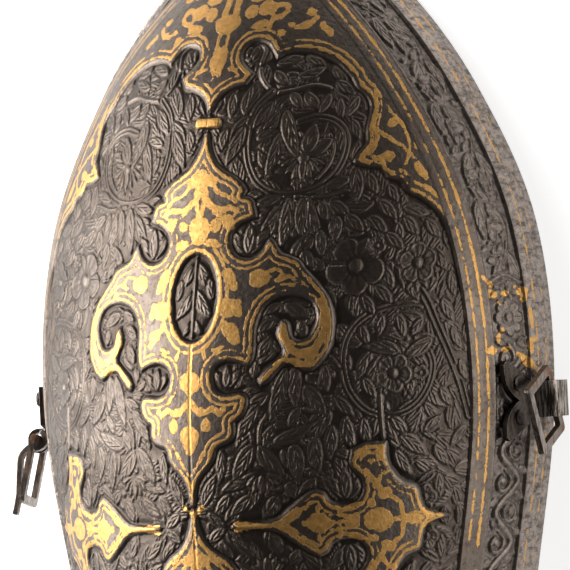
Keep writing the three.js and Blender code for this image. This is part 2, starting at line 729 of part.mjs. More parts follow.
// Left fitting: a hinge plate on the border whose eye faces the wrist, with a buckle and its tongue.
// Local x is outward, y down the skin along the hinge bar, z towards the wrist.
function leftFitting() {
  const group = new THREE.Group();
  const across = hingePlateHeight - halfSection(hingePlatePlace).length;
  const base = skinPoint(across, hingePlatePlace);
  const outward = skinNormal(across, hingePlatePlace).setY(0).normalize();
  const wristward = new THREE.Vector3(0, -1, 0);
  const downSkin = new THREE.Vector3().crossVectors(wristward, outward);
  group.applyMatrix4(new THREE.Matrix4().makeBasis(outward, downSkin, wristward).setPosition(base));

  const barReach = Math.hypot(barWidth, barThickness) / 2;
  const eyeRadius = barReach + clearance + sheet / 2;
  const eyeStretch = (leftEyeWidth / 2) * Math.tan(buckleTurn * degree);
  const plateEnd = hingePlateLength / 2;
  const plateLift = sheet / 2 + clearance;
  const eyeMiddle = new THREE.Vector2(plateLift + eyeRadius, plateEnd + clearance);
  const centre = [
    new THREE.Vector2(plateLift, -plateEnd),
    ...eyeArc(eyeMiddle, eyeRadius, eyeStretch, leftEyeArc),
  ];
  const loopRadius = barReach + clearance + tongueThickness / 2;
  const sideGap = clearance + (loopRadius + tongueThickness / 2) * Math.tan(buckleTurn * degree);
  const eyeShift = (tongueWidth + sideGap) / 2;
  const shoulder = plateEnd - eyeRadius - eyeStretch;
  const beyond = plateEnd + 4 * eyeRadius;
  const outline = [
    [-hingePlateWidth / 2, -plateEnd - sheet], [hingePlateWidth / 2, -plateEnd - sheet],
    [hingePlateWidth / 2, shoulder - sheet], [eyeShift + leftEyeWidth / 2, shoulder],
    [eyeShift + leftEyeWidth / 2, beyond], [eyeShift - leftEyeWidth / 2, beyond],
    [eyeShift - leftEyeWidth / 2, shoulder], [-hingePlateWidth / 2, shoulder - sheet],
  ].map((corner) => new THREE.Vector2(...corner));
  const rivets = [-1, 1].map((side) => ({ y: (side * hingeRivetSpacing) / 2, z: hingeRivetInset - plateEnd }));
  const strip = stripGeometry(thickened(centre, sheet), hingePlateWidth + sheet);
  group.add(named('left_hinge_plate', trimmed(strip, outline, rivets), steel(0x2e2826, 0.55)));
  for (const [i, { y, z }] of rivets.entries()) {
    const place = new THREE.Vector3(plateLift + sheet / 2 + clearance, y, z);
    const geometry = rivetGeometry(shankLength(place.clone().applyMatrix4(group.matrix), outward));
    const rivet = named(`left_rivet_${i + 1}`, geometry, steel(0x3a332e, 0.6));
    rivet.position.copy(place);
    group.add(rivet);
  }

  const buckle = new THREE.Group();
  buckle.position.set(eyeMiddle.x, 0, eyeMiddle.y);
  buckle.rotation.set(buckleTurn * degree, buckleSwing * degree, 0, 'XYZ');
  group.add(buckle);
  buckle.add(named('left_buckle', ringGeometry(buckleWidth, buckleLength, buckleCorner), steel(0x6a5a50, 0.45)));

  // The tongue: a loop round the hinge bar, an S that rises off the window and a point past the free bar
  const restLift = barThickness / 2 + clearance + tongueThickness / 2;
  const reach = buckleLength - barWidth;
  const loop = eyeArc(new THREE.Vector2(0, 0), loopRadius, 0, tongueLoopArc);
  const end = loop[loop.length - 1];
  const tongueLine = new THREE.SplineCurve([
    new THREE.Vector2(end.x, end.y),
    ...tongueCurve.map(({ along, rise }) => new THREE.Vector2(restLift + rise * tongueRise, along * reach)),
    new THREE.Vector2(restLift, reach + barWidth / 2 + tongueOverhang),
  ]).getPoints(tongueSteps);
  const line = [...loop.slice(0, -1), ...tongueLine];
  const tongue = stripGeometry(thickened(line, tongueThickness), tongueWidth);
  const tongueMesh = named('left_tongue', tongue, steel(0x4a3e37, 0.5));
  tongueMesh.position.y = eyeShift - leftEyeWidth / 2 - sideGap - tongueWidth / 2;
  buckle.add(tongueMesh);
  return group;
}

const armGuard = new THREE.Group();
armGuard.add(named('guard_plate', guardGeometry(), steel(0x4b4541, 0.42)));
armGuard.add(rightFitting(), leftFitting());
armGuard.updateMatrixWorld(true);
armGuard.position.x = -new THREE.Box3().setFromObject(armGuard, true).getCenter(new THREE.Vector3()).x;

export default armGuard;
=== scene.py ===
import json
import math

import bmesh
import bpy
import numpy as np
from mathutils import Matrix, Vector


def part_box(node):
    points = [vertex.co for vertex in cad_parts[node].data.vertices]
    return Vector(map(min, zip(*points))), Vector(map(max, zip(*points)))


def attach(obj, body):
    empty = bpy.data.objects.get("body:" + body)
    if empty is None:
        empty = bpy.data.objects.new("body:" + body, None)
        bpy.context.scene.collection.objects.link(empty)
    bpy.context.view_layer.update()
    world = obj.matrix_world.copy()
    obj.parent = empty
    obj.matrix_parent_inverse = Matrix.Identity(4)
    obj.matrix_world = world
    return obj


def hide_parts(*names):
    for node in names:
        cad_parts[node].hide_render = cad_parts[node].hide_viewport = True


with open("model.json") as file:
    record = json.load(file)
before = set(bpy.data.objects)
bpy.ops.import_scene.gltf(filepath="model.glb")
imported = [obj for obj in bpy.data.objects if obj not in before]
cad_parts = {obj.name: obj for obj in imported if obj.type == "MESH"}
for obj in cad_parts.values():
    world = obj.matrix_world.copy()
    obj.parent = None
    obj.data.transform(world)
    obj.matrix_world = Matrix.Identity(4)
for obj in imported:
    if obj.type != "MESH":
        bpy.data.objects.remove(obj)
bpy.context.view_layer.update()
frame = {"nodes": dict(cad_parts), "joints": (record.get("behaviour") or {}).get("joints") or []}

print("frame loaded, nodes:", len(frame["nodes"]))

mm = 0.001
middleX = float(sum(corner[0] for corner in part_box("guard_plate")) / 2)   # the plate's middle plane


# The plate's skin, in millimetres
plate = {
    "length": 300.0,
    "halfWidth": 56.1,
    "crown": 51.4,
    "thickness": 1.8,
    "power": 1.8,             # 2 is a half ellipse, less is more pointed at the crown
    "rim": 8.6,               # widths of the border, from the rim's edge
    "band": 10.2,
    "rail": 5.7,
    "bandDepth": 0.7,
    "fieldDepth": 0.66,
    "plateauDepth": 0.05,
    "wristRim": 7.0,
    "fadeArc": 30.0,
    "along": (0, 0.0133, 0.0533, 0.12, 0.2133, 0.3333, 0.48, 0.6533, 0.8333, 1),
    "widths": (0, 0.254, 0.511, 0.76, 0.964, 1, 0.873, 0.747, 0.635, 0.597),
    "heights": (0, 0.167, 0.434, 0.68, 0.85, 1, 0.984, 0.869, 0.749, 0.661),
}
bandStart = plate["rim"]
bandEnd = plate["rim"] + plate["band"]
fieldStart = bandEnd + plate["rail"]


def smoothColumn(values, distance):
    knots = np.sqrt(np.array(plate["along"]))
    values = np.array(values, float)
    root = np.sqrt(np.clip(np.asarray(distance, float) / plate["length"], 0, None))
    gaps = np.diff(knots)
    rises = np.diff(values) / gaps
    slopes = np.empty_like(values)
    slopes[0], slopes[-1] = rises[0], rises[-1]
    slopes[1:-1] = (rises[1:] * gaps[:-1] + rises[:-1] * gaps[1:]) / (gaps[:-1] + gaps[1:])
    i = np.clip(np.searchsorted(knots, root, side="right") - 1, 0, len(gaps) - 1)
    t = (root - knots[i]) / gaps[i]
    ease = 3 * t ** 2 - 2 * t ** 3
    return ((1 - ease) * values[i] + ease * values[i + 1]
            + (t ** 3 - 2 * t ** 2 + t) * gaps[i] * slopes[i]
            + (t ** 3 - t ** 2) * gaps[i] * slopes[i + 1])


sectionAngles = np.linspace(0, math.pi / 2, 241)


def halfSection(distance):
    width = plate["halfWidth"] * smoothColumn(plate["widths"], distance)
    height = plate["crown"] * smoothColumn(plate["heights"], distance)
    x = width * np.sin(sectionAngles) ** (2 / plate["power"])
    z = height * np.cos(sectionAngles) ** (2 / plate["power"])
    z[-1] = 0
    arc = np.concatenate([[0], np.cumsum(np.hypot(np.diff(x), np.diff(z)))])
    return x, z, arc


# closer together at the elbow's tip, and on past the wrist for the rows that are added there
tableDistances = np.concatenate([np.linspace(0, 4, 81)[:-1], np.linspace(4, 306, 605)])
tableArcs = np.array([halfSection(distance)[2][-1] for distance in tableDistances])


def halfArc(distance):
    return np.interp(distance, tableDistances, tableArcs)


def borderScale(distance):
    half = halfArc(distance)
    return half / (half ** 4 + plate["fadeArc"] ** 4) ** 0.25


def skinPoints(across, distances):
    # across has one row of millimetres from the crown for each distance from the elbow
    points = np.empty(across.shape + (3,))
    for row, distance in enumerate(distances):
        x, z, arc = halfSection(distance)
        reach = np.abs(across[row])
        over = np.maximum(reach - arc[-1], 0)
        points[row, :, 0] = np.sign(across[row]) * np.interp(reach, arc, x)
        points[row, :, 1] = plate["length"] / 2 - distance
        points[row, :, 2] = np.interp(reach, arc, z) - over
    return points


def crownRows(first, last, spacing):
    # distances from the elbow whose rows are evenly spaced along the crown line
    fine = np.concatenate([[0], np.geomspace(1e-4, plate["length"], 6000)])
    crown = plate["crown"] * smoothColumn(plate["heights"], fine)
    walk = np.concatenate([[0], np.cumsum(np.hypot(np.diff(fine), np.diff(crown)))])
    start, end = np.interp([first, last], fine, walk)
    count = max(2, int(math.ceil((end - start) / spacing)))
    rows = np.interp(np.linspace(start, end, count + 1), walk, fine)
    rows[0], rows[-1] = first, last
    return rows


# Charts that the chiselling is drawn on
# A chart is a map of the skin in millimetres: one axis across, one along.
chartStep = 0.12
chisel = {
    "ditch": 0.3,             # the groove round a leaf: its width, and what it leaves of the relief
    "ditchFloor": 0.1,
    "bead": 0.28,             # the proud rim of a leaf or petal: how far in, and its width
    "beadWidth": 0.22,
    "wall": 0.26,
    "least": 0.02,            # a leaf's lowest height
}
edgeReach = 4.5               # how far from a cartouche's edge the chart's distances go


def newChart(acrossEnd, alongEnd):
    size = int(round(alongEnd / chartStep)) + 1, int(round(acrossEnd / chartStep)) + 1
    return {
        "relief": np.zeros(size, np.float32),     # chiselled height over the ground
        "vein": np.zeros(size, np.float32),       # counts the fine lines cut across a leaf
        "veined": np.zeros(size, np.float32),     # how deep they are there
        "gold": np.full(size, -3, np.float32),    # millimetres inside a gilded shape, - outside
        "edge": np.full(size, -9, np.float32),    # millimetres inside a raised cartouche, - outside
    }


def window(chart, acrossLow, acrossHigh, alongLow, alongHigh):
    rows, columns = chart["relief"].shape
    c0 = max(0, int(math.floor(acrossLow / chartStep)))
    c1 = min(columns, int(math.ceil(acrossHigh / chartStep)) + 1)
    r0 = max(0, int(math.floor(alongLow / chartStep)))
    r1 = min(rows, int(math.ceil(alongHigh / chartStep)) + 1)
    if c1 <= c0 or r1 <= r0:
        return None
    a = (np.arange(c0, c1) * chartStep)[None, :]
    v = (np.arange(r0, r1) * chartStep)[:, None]
    return (slice(r0, r1), slice(c0, c1)), a, v


def turnedWindow(chart, a, v, reach, turn=0.0):
    # the chart round (a, v), with the distances from it along a direction in degrees and beside it
    found = window(chart, a - reach, a + reach, v - reach, v + reach)
    if found is None:
        return None
    place, across, along = found
    c, s = math.cos(math.radians(turn)), math.sin(math.radians(turn))
    return place, (across - a) * c + (along - v) * s, -(across - a) * s + (along - v) * c


def smoothPath(points, perMm=1.6):
    # Catmull-Rom line through the points
    points = np.array(points, float)
    if len(points) < 3:
        return points
    padded = np.vstack([2 * points[0] - points[1], points, 2 * points[-1] - points[-2]])
    line = [points[0]]
    for i in range(1, len(padded) - 2):
        p0, p1, p2, p3 = padded[i - 1:i + 3]
        count = max(2, int(np.hypot(*(p2 - p1)[:2]) * perMm))
        for t in np.linspace(0, 1, count + 1)[1:]:
            line.append(0.5 * (2 * p1 + (p2 - p0) * t + (2 * p0 - 5 * p1 + 4 * p2 - p3) * t ** 2
                               + (3 * p1 - p0 - 3 * p2 + p3) * t ** 3))
    return np.array(line)


def eachSegment(chart, line, reach):
    for (a0, v0), (a1, v1) in zip(line[:-1, :2], line[1:, :2]):
        found = window(chart, min(a0, a1) - reach, max(a0, a1) + reach,
                       min(v0, v1) - reach, max(v0, v1) + reach)
        if found is None:
            continue
        place, a, v = found
        run = (a1 - a0) ** 2 + (v1 - v0) ** 2
        t = np.clip(((a - a0) * (a1 - a0) + (v - v0) * (v1 - v0)) / max(run, 1e-9), 0, 1)
        yield place, np.hypot(a - a0 - t * (a1 - a0), v - v0 - t * (v1 - v0)), t


def lineMap(chart, line, reach):
    # distance to a line, and the share of its length that lies behind the nearest point
    walk = np.concatenate([[0], np.cumsum(np.hypot(*np.diff(line[:, :2], axis=0).T))])
    near = np.full(chart["relief"].shape, 99, np.float32)
    share = np.zeros_like(near)
    for i in range(len(line) - 1):
        for place, away, t in eachSegment(chart, line[i:i + 2], reach):
            closer = away < near[place]
            near[place] = np.where(closer, away, near[place])
            behind = (walk[i] + t * (walk[i + 1] - walk[i])) / walk[-1]
            share[place] = np.where(closer, behind, share[place])
    low = line.min(axis=0) - reach
    high = line.max(axis=0) + reach
    place = window(chart, low[0], high[0], low[1], high[1])[0]
    return place, near[place], share[place]


def stem(chart, points, width=0.8, height=0.5, taper=0.4, doubled=0.0):
    # a rounded ridge along a smooth line, in a shallow ditch; doubled sets two of them side by side
    place, away, share = lineMap(chart, smoothPath(points), width + doubled + 0.6)
    half = width / 2 * (1 - taper * share)
    beside = away - half - doubled / 2
    away = np.abs(away - doubled / 2) if doubled else away
    ridge = height * np.clip(1 - (away / half) ** 2, 0, None) ** 0.5
    relief = chart["relief"][place]
    ditch = np.minimum(relief, 0.1 * np.clip(beside / 0.35, 0, 1) + 0.06)
    chart["relief"][place] = np.maximum(np.where(beside < 0.35, ditch, relief), ridge)
    chart["veined"][place] *= beside > 0.1


def carve(chart, place, over, around, body, vein, veined):
    # lays a leaf or petal over what is there, and cuts a narrow ditch round it
    relief = chart["relief"][place]
    ditch = np.minimum(relief, chisel["ditchFloor"])
    chart["relief"][place] = np.where(around & ~over, ditch, relief)
    body = np.maximum(body, chisel["least"])
    for key, values in (("relief", body), ("vein", vein), ("veined", veined)):
        chart[key][place] = np.where(over, values, chart[key][place])


def beadAndWall(within):
    bead = np.exp(-((within - chisel["bead"]) / chisel["beadWidth"]) ** 2)
    return bead, np.clip(within / chisel["wall"], 0, 1) ** 0.6


def leaf(chart, a, v, turn, length, width, bend=0.0, height=0.46, lines=5):
    # (a, v) is its base; turn is in degrees: 0 points across, 90 along, away from the elbow
    found = turnedWindow(chart, a, v, length + width, turn)
    if found is None:
        return
    place, x, y = found
    x = x / length
    y = y - bend * length * 1.6 * (x ** 2 - x * 0.3)
    xc = np.clip(x, 0, 1)
    half = width / 2 * 2.67 * xc ** 0.6 * (1 - xc) ** 0.85   # round base, pointed tip
    half *= np.where(y > 0, 1.15, 0.9)
    within = half - np.abs(y)                      # millimetres inside the leaf's edge
    over = (x > 0) & (x < 1) & (within > 0)
    around = (x > -0.06) & (x < 1.06) & (within > -chisel["ditch"])
    bead, wall = beadAndWall(within)               # its rim and its midrib stand proud
    rib = np.exp(-(y / 0.2) ** 2) * np.clip((0.85 - xc) * 5, 0, 1) * np.clip(half - 0.5, 0, 1)
    body = height * np.clip(0.68 + 0.28 * bead + 0.24 * rib, 0, 1) * wall
    vein = (np.abs(y) * 1.35 - x * length * 0.42) * lines / 5
    carve(chart, place, over, around, body, vein,
          np.clip((within - 0.3) / 0.3, 0, 1) * np.clip((1 - xc) * 4, 0, 1))


def sprig(chart, a0, v0, a1, v1, width, bend=0.0, height=0.46):
    # a leaf from its base to its tip
    turn = math.degrees(math.atan2(v1 - v0, a1 - a0))
    leaf(chart, a0, v0, turn, math.hypot(a1 - a0, v1 - v0), width, bend, height)


def fan(chart, a, v, turn, spread, count, length, width):
    # petals side by side, the outer ones first
    order = sorted(range(count), key=lambda k: -abs(k - (count - 1) / 2))
    for k in order:
        leaf(chart, a, v, turn + spread * (k / (count - 1) - 0.5), length, width, 0, 0.5, 4)


def flower(chart, a, v, radius, petals=6, turn=0.0, height=0.5, boss=0.24):
    found = turnedWindow(chart, a, v, radius + 1)
    if found is None:
        return
    place, x, y = found
    far = np.hypot(x, y)
    angle = np.arctan2(y, x) - math.radians(turn)
    lobe = np.abs(np.cos(angle * petals / 2))
    outline = radius * (0.66 + 0.34 * lobe ** 0.5)
    within = outline - far
    share = np.clip(far / outline, 0, 1)
    bead, wall = beadAndWall(within)
    petal = height * (0.5 + 0.34 * bead + 0.16 * share ** 2) * wall
    gaps = np.exp(-(lobe / 0.13) ** 2) * np.clip(share * 1.4, 0, 1)
    petal *= 1 - 0.6 * gaps
    core = radius * boss
    middle = height * 0.95 * np.sqrt(np.clip(1 - (far / core) ** 2, 0, None)) ** 0.7
    ditch = 0.7 * np.exp(-((far - core * 1.2) / max(radius * 0.08, 0.16)) ** 2)
    body = np.maximum(petal * (1 - ditch), middle)
    vein = angle * 3 * petals / (2 * math.pi)
    carve(chart, place, within > 0, within > -chisel["ditch"], body, vein,
          0.5 * np.clip(within / 0.4, 0, 1) * np.clip((far - core * 1.3) / 0.3, 0, 1))


def knob(chart, a, v, radius, height):
    found = turnedWindow(chart, a, v, radius + 0.5)
    if found is None:
        return
    place, x, y = found
    dome = height * np.sqrt(np.clip(1 - (x ** 2 + y ** 2) / radius ** 2, 0, None))
    chart["relief"][place] = np.maximum(chart["relief"][place], dome)


def gildLine(chart, points, width, smooth=True):
    line = smoothPath(points) if smooth else np.array(points, float)
    for place, away, t in eachSegment(chart, line, width / 2 + 1.2):
        chart["gold"][place] = np.maximum(chart["gold"][place], width / 2 - away)


def gildBlob(chart, a, v, halfA, halfV, turn=0.0, point=0.0, lobes=0):
    # an oval of gold, drawn out to a point at its +v end, or lobed like a small flower
    found = turnedWindow(chart, a, v, max(halfA, halfV) * (1 + point) + 1.2, turn)
    if found is None:
        return
    place, x, y = found
    y = np.where(y > 0, y / (1 + point), y)
    x = x * (1 + 0.6 * point * np.clip(y / halfV, 0, 1))
    far = np.hypot(x / halfA, y / halfV)
    if lobes:
        angle = np.arctan2(y / halfV, x / halfA)
        far = far / (0.82 + 0.18 * np.abs(np.cos(angle * lobes / 2)))
    chart["gold"][place] = np.maximum(chart["gold"][place], (1 - far) * min(halfA, halfV))


def outlinePoints(strokes, place):
    # smooth strokes, each from the last one's end, with a corner between them
    corners, last = [], []
    for stroke in strokes:
        line = smoothPath([place(*row) for row in last + stroke])
        corners.extend(line[1:] if corners else line)
        last = stroke[-1:]
    return np.array(corners)


def overCrown(line):
    # closes half an outline beyond the crown line
    return np.vstack([line, [[-1, line[-1][1]], [-1, line[0][1]]]])


def insideOf(chart, corners):
    # even-odd fill of a closed outline
    rows, columns = chart["relief"].shape
    crossings = np.zeros((rows, columns + 1), np.int32)
    closed = np.vstack([corners, corners[:1]])
    for (a0, v0), (a1, v1) in zip(closed[:-1], closed[1:]):
        if v0 == v1:
            continue
        low, high = sorted((v0, v1))
        r = np.arange(max(0, math.ceil(low / chartStep)), min(rows, math.ceil(high / chartStep)))
        if len(r) == 0:
            continue
        at = a0 + (r * chartStep - v0) / (v1 - v0) * (a1 - a0)
        column = np.clip(np.ceil(at / chartStep), 0, columns).astype(int)
        np.add.at(crossings, (r, column), 1)
    return np.cumsum(crossings, axis=1)[:, :columns] % 2 == 1


def raiseOutline(chart, lines, fill):
    # signed distance to a cartouche's edges, kept where it is the deepest one
    near = np.full(chart["relief"].shape, edgeReach, np.float32)
    for line in lines:
        for place, away, t in eachSegment(chart, line, edgeReach):
            near[place] = np.minimum(near[place], away)
    chart["edge"] = np.maximum(chart["edge"], np.where(fill, near, -near))


print("charts ready")


# The cartouches
# Strokes are in shares of the named sizes, as in the solid: across of the half width, along of the
# length. Each stroke goes on from the last one's end.
cartouches = {
    "medallionLength": 75.0,
    "medallionHalfWidth": 29.0,
    "medallionStarts": (43.0, 118.0, 193.0),
    "panelLength": 38.0,
    "panelHalfWidth": 55.0,
    "starStart": 8.0,
    "starWidth": 44.8,
    "starHalfLength": 15.7,
    "midLine": 121.5,
    "ovalHalfWidth": 0.17,
    "ovalHalfLength": 0.115,
    "ovalMiddle": 0.44,
    "ovalLines": ((0.85, 0.8), (2.3, 0.7)),          # gilded lines round it: how far outside, width
    # leaves in it, as in fieldLeaves, but along is from its middle
    "ovalLeaves": (
        (0.2, 4.2, 2.0, 7.8, 1.7), (0.3, -1.6, 3.6, 4.6, 2.7), (0.3, -7.0, 3.5, -1.4, 2.5)),
    "lineInset": (0.95, 2.15),     # the two gilded lines inside every edge
    "lineWidth": (0.6, 0.48),
}
medallionStrokes = [
    [(0.02, 0), (0.04, 0.04), (0.08, 0.073), (0.14, 0.1), (0.26, 0.128), (0.33, 0.16),
     (0.31, 0.176)],
    [(0.38, 0.187), (0.42, 0.235)],
    [(0.3, 0.252), (0.245, 0.28), (0.255, 0.312), (0.31, 0.336), (0.39, 0.341), (0.46, 0.325),
     (0.5, 0.3), (0.517, 0.288)],
    [(0.56, 0.304), (0.6, 0.33), (0.67, 0.341), (0.74, 0.355), (0.78, 0.377)],
    [(0.86, 0.41), (0.96, 0.46), (1, 0.52), (0.985, 0.585), (0.91, 0.63), (0.83, 0.648),
     (0.735, 0.627)],
    [(0.665, 0.628), (0.6, 0.655), (0.56, 0.672), (0.51, 0.679), (0.49, 0.66)],
    [(0.54, 0.637), (0.655, 0.6), (0.648, 0.58), (0.61, 0.54), (0.64, 0.507)],
    [(0.686, 0.516), (0.717, 0.555), (0.776, 0.564), (0.835, 0.553), (0.88, 0.51), (0.848, 0.469),
     (0.78, 0.452), (0.69, 0.445), (0.586, 0.452), (0.51, 0.475), (0.465, 0.52), (0.462, 0.575),
     (0.45, 0.61), (0.42, 0.63)],
    [(0.35, 0.617), (0.262, 0.612), (0.19, 0.625), (0.166, 0.65), (0.186, 0.68), (0.25, 0.697),
     (0.36, 0.694)],
    [(0.407, 0.701), (0.42, 0.727), (0.38, 0.76), (0.325, 0.773)],
    [(0.33, 0.797), (0.3, 0.821), (0.2, 0.84), (0.18, 0.864), (0.14, 0.889), (0.08, 0.913),
     (0.04, 0.94), (0.02, 0.99)],
]
panelStrokes = [
    [(0.011, 1.02), (0.022, 0.975), (0.045, 0.934), (0.085, 0.903), (0.127, 0.889)],
    [(0.153, 0.832)],
    [(0.12, 0.795), (0.095, 0.753), (0.091, 0.705), (0.113, 0.666), (0.149, 0.658),
     (0.185, 0.679), (0.211, 0.726), (0.229, 0.758)],
    [(0.251, 0.737), (0.309, 0.726), (0.382, 0.747), (0.455, 0.8), (0.518, 0.879)],
    [(0.545, 0.937), (0.587, 0.99), (0.604, 1.05), (0.596, 1.145), (0.6, 1.224), (0.573, 1.28)],
    [(0.56, 1.33), (0.6, 1.358), (0.66, 1.374), (0.691, 1.426)],
    [(0.736, 1.447), (0.764, 1.5), (0.818, 1.54), (0.873, 1.6), (0.918, 1.684), (0.945, 1.776),
     (0.982, 1.895), (1.01, 2.05)],
]
starStrokes = [
    [(0, 0.02), (0.13, 0.045), (0.21, 0.1), (0.268, 0.22), (0.335, 0.363), (0.38, 0.425)],
    [(0.422, 0.376), (0.438, 0.287), (0.48, 0.223), (0.547, 0.223), (0.589, 0.338), (0.589, 0.51),
     (0.542, 0.694), (0.547, 0.905)],
    [(0.614, 0.975), (0.71, 0.98)],
    [(0.714, 0.732), (0.77, 0.49), (0.844, 0.395), (0.864, 0.223), (0.884, 0.096), (0.938, 0.03),
     (1, 0)],
]
# Gold inside them, in millimetres. Lines are (width, points). Blobs are (across, along,
# half across, half along, turn, point, lobes), and a shorter row ends in zeros.
medallionGoldLines = [
    (1.3, [(0.4, 12.5), (2, 14.5), (4, 15.6), (6.5, 15.5), (8, 16.2)]),
    (0.9, [(2.4, 10.6), (4, 12.4), (6, 13.2), (7.6, 14.4)]),
    (1.0, [(0, 9.5), (1.2, 12.5), (0.4, 16), (0, 18)]), (0.8, [(3.2, 16.2), (5.2, 17.4)]),
    (0.9, [(6.4, 27.6), (7.6, 29.4), (8.6, 31.4)]),
    (0.8, [(15, 28.6), (17, 28.2), (18.1, 29.3), (17, 30.4)]),
    (0.7, [(17.4, 30.6), (19.6, 29.8), (21.6, 31.2)]), (1.4, [(9.4, 34), (9.8, 36.5)]),
    (1.8, [(6.8, 38.6), (8, 40.4), (9.6, 42)]), (1.0, [(0, 42.6), (0, 48.6)]),
    (0.8, [(2.6, 43.4), (3.2, 45)]), (0.7, [(5, 43.6), (7, 43)]),
    (1.45, [(26.2, 34.8), (27.1, 38), (27, 41), (25.9, 43.6), (23.9, 45.2), (21.6, 44.8),
     (19.8, 43), (18.7, 41.2)]),
    (1.0, [(25.4, 45.4), (23, 47.3), (21, 46.6), (19, 46.1), (17.4, 47.5), (15.4, 49.6)]),
    (1.3, [(0, 53.2), (1.6, 55.2), (3.4, 55.8), (5, 55), (6.4, 56)]),
    (0.8, [(0, 51), (0, 58.5)]), (0.8, [(4.2, 52.4), (4.6, 53.2)]),
    (0.6, [(2.9, 63.6), (1.9, 65.6), (0.4, 68)]),
]
medallionProngs = [            # lines that spread from the tip of the lower ones
    (0.9, [(0, 0.4), (0, 5)]), (0.75, [(0, 0.8), (1.2, 0.1), (2.1, -0.7)]),
    (0.8, [(0, 3.4), (1.2, 6), (3.2, 8.4), (5.4, 10.4)]), (0.7, [(0, 5), (0.8, 8), (2.4, 11)]),
]
medallionGoldBlobs = [
    (0, 9.6, 1.5, 2.2), (1.9, 9.9, 1.5, 1.3, 20), (0, 19.6, 2.6, 2.5, 0, 0.2),
    (3.6, 18.9, 1.25, 1.5), (6.3, 18.3, 1.3, 1.7, -20), (3.6, 22.4, 1.9, 1.0, 12),
    (7.4, 29.2, 1.2, 2.4, -28, 0.4), (13.6, 29.8, 2.3, 1.9, 0, 0, 3), (7.6, 35.3, 2.7, 1.9),
    (8.6, 40.3, 1.5, 2.2, -32), (20.4, 31.6, 1.0, 0.5, 30), (0, 50, 2.35, 2.5),
    (3.6, 58.3, 1.1, 1.5), (0, 60.4, 2.2, 2.1, 0, 0.75), (2.6, 55.6, 1.2, 0.9),
    (7.2, 55.3, 0.7, 0.6),
]
panelGoldLines = [
    (1.7, [(0, 8), (0, 13)]), (1.5, [(1, 15), (1.4, 21)]), (0.8, [(1, 22), (1, 25.5)]),
    (1.1, [(9, 19.4), (9.8, 17.9), (11.4, 17.8), (12.2, 19.2), (11, 20.4), (9.6, 20.6),
     (9.2, 22.2)]),
    (1.1, [(15, 22.6), (17, 22.6), (18.4, 21)]), (1.1, [(20, 22.4), (22.3, 24.4)]),
    (1.0, [(3, 11), (5, 13), (8, 13.5), (10, 15)]), (0.9, [(4, 8), (7, 10), (11, 11.5)]),
    (0.85, [(33.6, 36.4), (34.5, 40), (34.1, 43.5), (35.2, 46), (33.6, 48.4), (32.2, 50),
     (34, 50.8), (36.4, 50.4), (37.5, 52.6), (39.6, 53.1)]),
    (0.8, [(34.6, 44.4), (38, 46.4), (41, 48.4), (44, 51)]),
    (0.75, [(36.5, 39.4), (38, 41.4), (40.4, 44), (42, 48), (41.4, 51.4), (40.4, 53)]),
    (0.8, [(41, 52.4), (42.6, 54.8), (46, 56.3), (49, 58.5), (51.4, 62), (53, 66)]),
]
panelGoldBlobs = [
    (0.6, 20.8, 2.4, 1.6, 0, 0.5), (4.6, 18.8, 1.5, 1.5), (7.8, 18.2, 2.2, 1.7, 0, 0, 3),
    (7.4, 21.7, 1.7, 0.9, -12), (13.6, 22.2, 0.9, 0.8), (12, 23.8, 1.1, 0.9),
    (16.6, 22.4, 1.2, 0.8), (0.6, 28.2, 1.25, 2.7, 0, 0.5), (0, 6, 2.0, 1.6), (5, 15.8, 1.8, 1.2),
    (12.4, 14.8, 1.6, 1.0, 20), (3.4, 30.5, 1.4, 0.5, 14), (38, 43, 1.15, 0.95),
    (38, 49.7, 1.4, 1.1), (43.5, 47.4, 0.8, 1.2), (44.6, 52.7, 1.0, 2.2, -42, 0.4),
    (17, 19.6, 1.3, 0.8, 25),
]
starGoldLines = [
    (0.85, [(8.8, 120.8), (11, 121.2), (14, 121.4), (18, 121.5)]),
    (0.8, [(17.6, 121.4), (20, 120), (22, 118.6), (24.4, 117.2)]),
    (0.9, [(22.4, 121.2), (29, 121.4), (33, 121.5)]), (0.8, [(25.4, 119.6), (25.3, 118.4)]),
    (0.8, [(27.6, 120), (30.4, 120.2), (33, 120.8)]),
    (0.9, [(40, 121.5), (43, 121.5), (46.4, 121.5)]),
    (1.0, [(40, 116.8), (42, 118.4), (42.4, 120.6), (43.6, 121.4)]),
    (1.25, [(38.4, 116), (37, 114), (35.2, 111.8)]), (1.1, [(37, 114.6), (38.6, 112.6), (40, 112)]),
    (0.7, [(33.2, 110.8), (33.1, 109.2), (34.4, 108.2), (36, 108)]),
    (0.9, [(38, 107.4), (38.5, 109.6)]), (0.8, [(34.4, 118), (31.6, 118.6), (29.6, 119.4)]),
    (0.5, [(46, 119.4), (48, 120.6), (51, 121.4)]), (0.6, [(45, 121.2), (47, 119.8)]),
]
starGoldBlobs = [
    (25.5, 121.5, 2.9, 2.2, 0, 0, 4), (37.3, 121.5, 3.1, 2.3), (31.6, 120.8, 1.3, 0.8),
    (44.6, 121.5, 1.9, 1.3), (39, 116.3, 1.6, 1.15, -20), (36, 118, 1.0, 0.95),
    (36.5, 110, 0.8, 0.75), (11, 121.3, 1.4, 0.7), (29.4, 118.7, 0.6, 0.5),
]


def narrowing(distance):
    # how much narrower the field is there than where the first medallion is widest
    width = lambda at: halfArc(at) - fieldStart * borderScale(at)
    first = cartouches["medallionStarts"][0] + cartouches["medallionLength"] / 2
    return min(1.0, width(distance) / width(first))


field = newChart(86, 300)


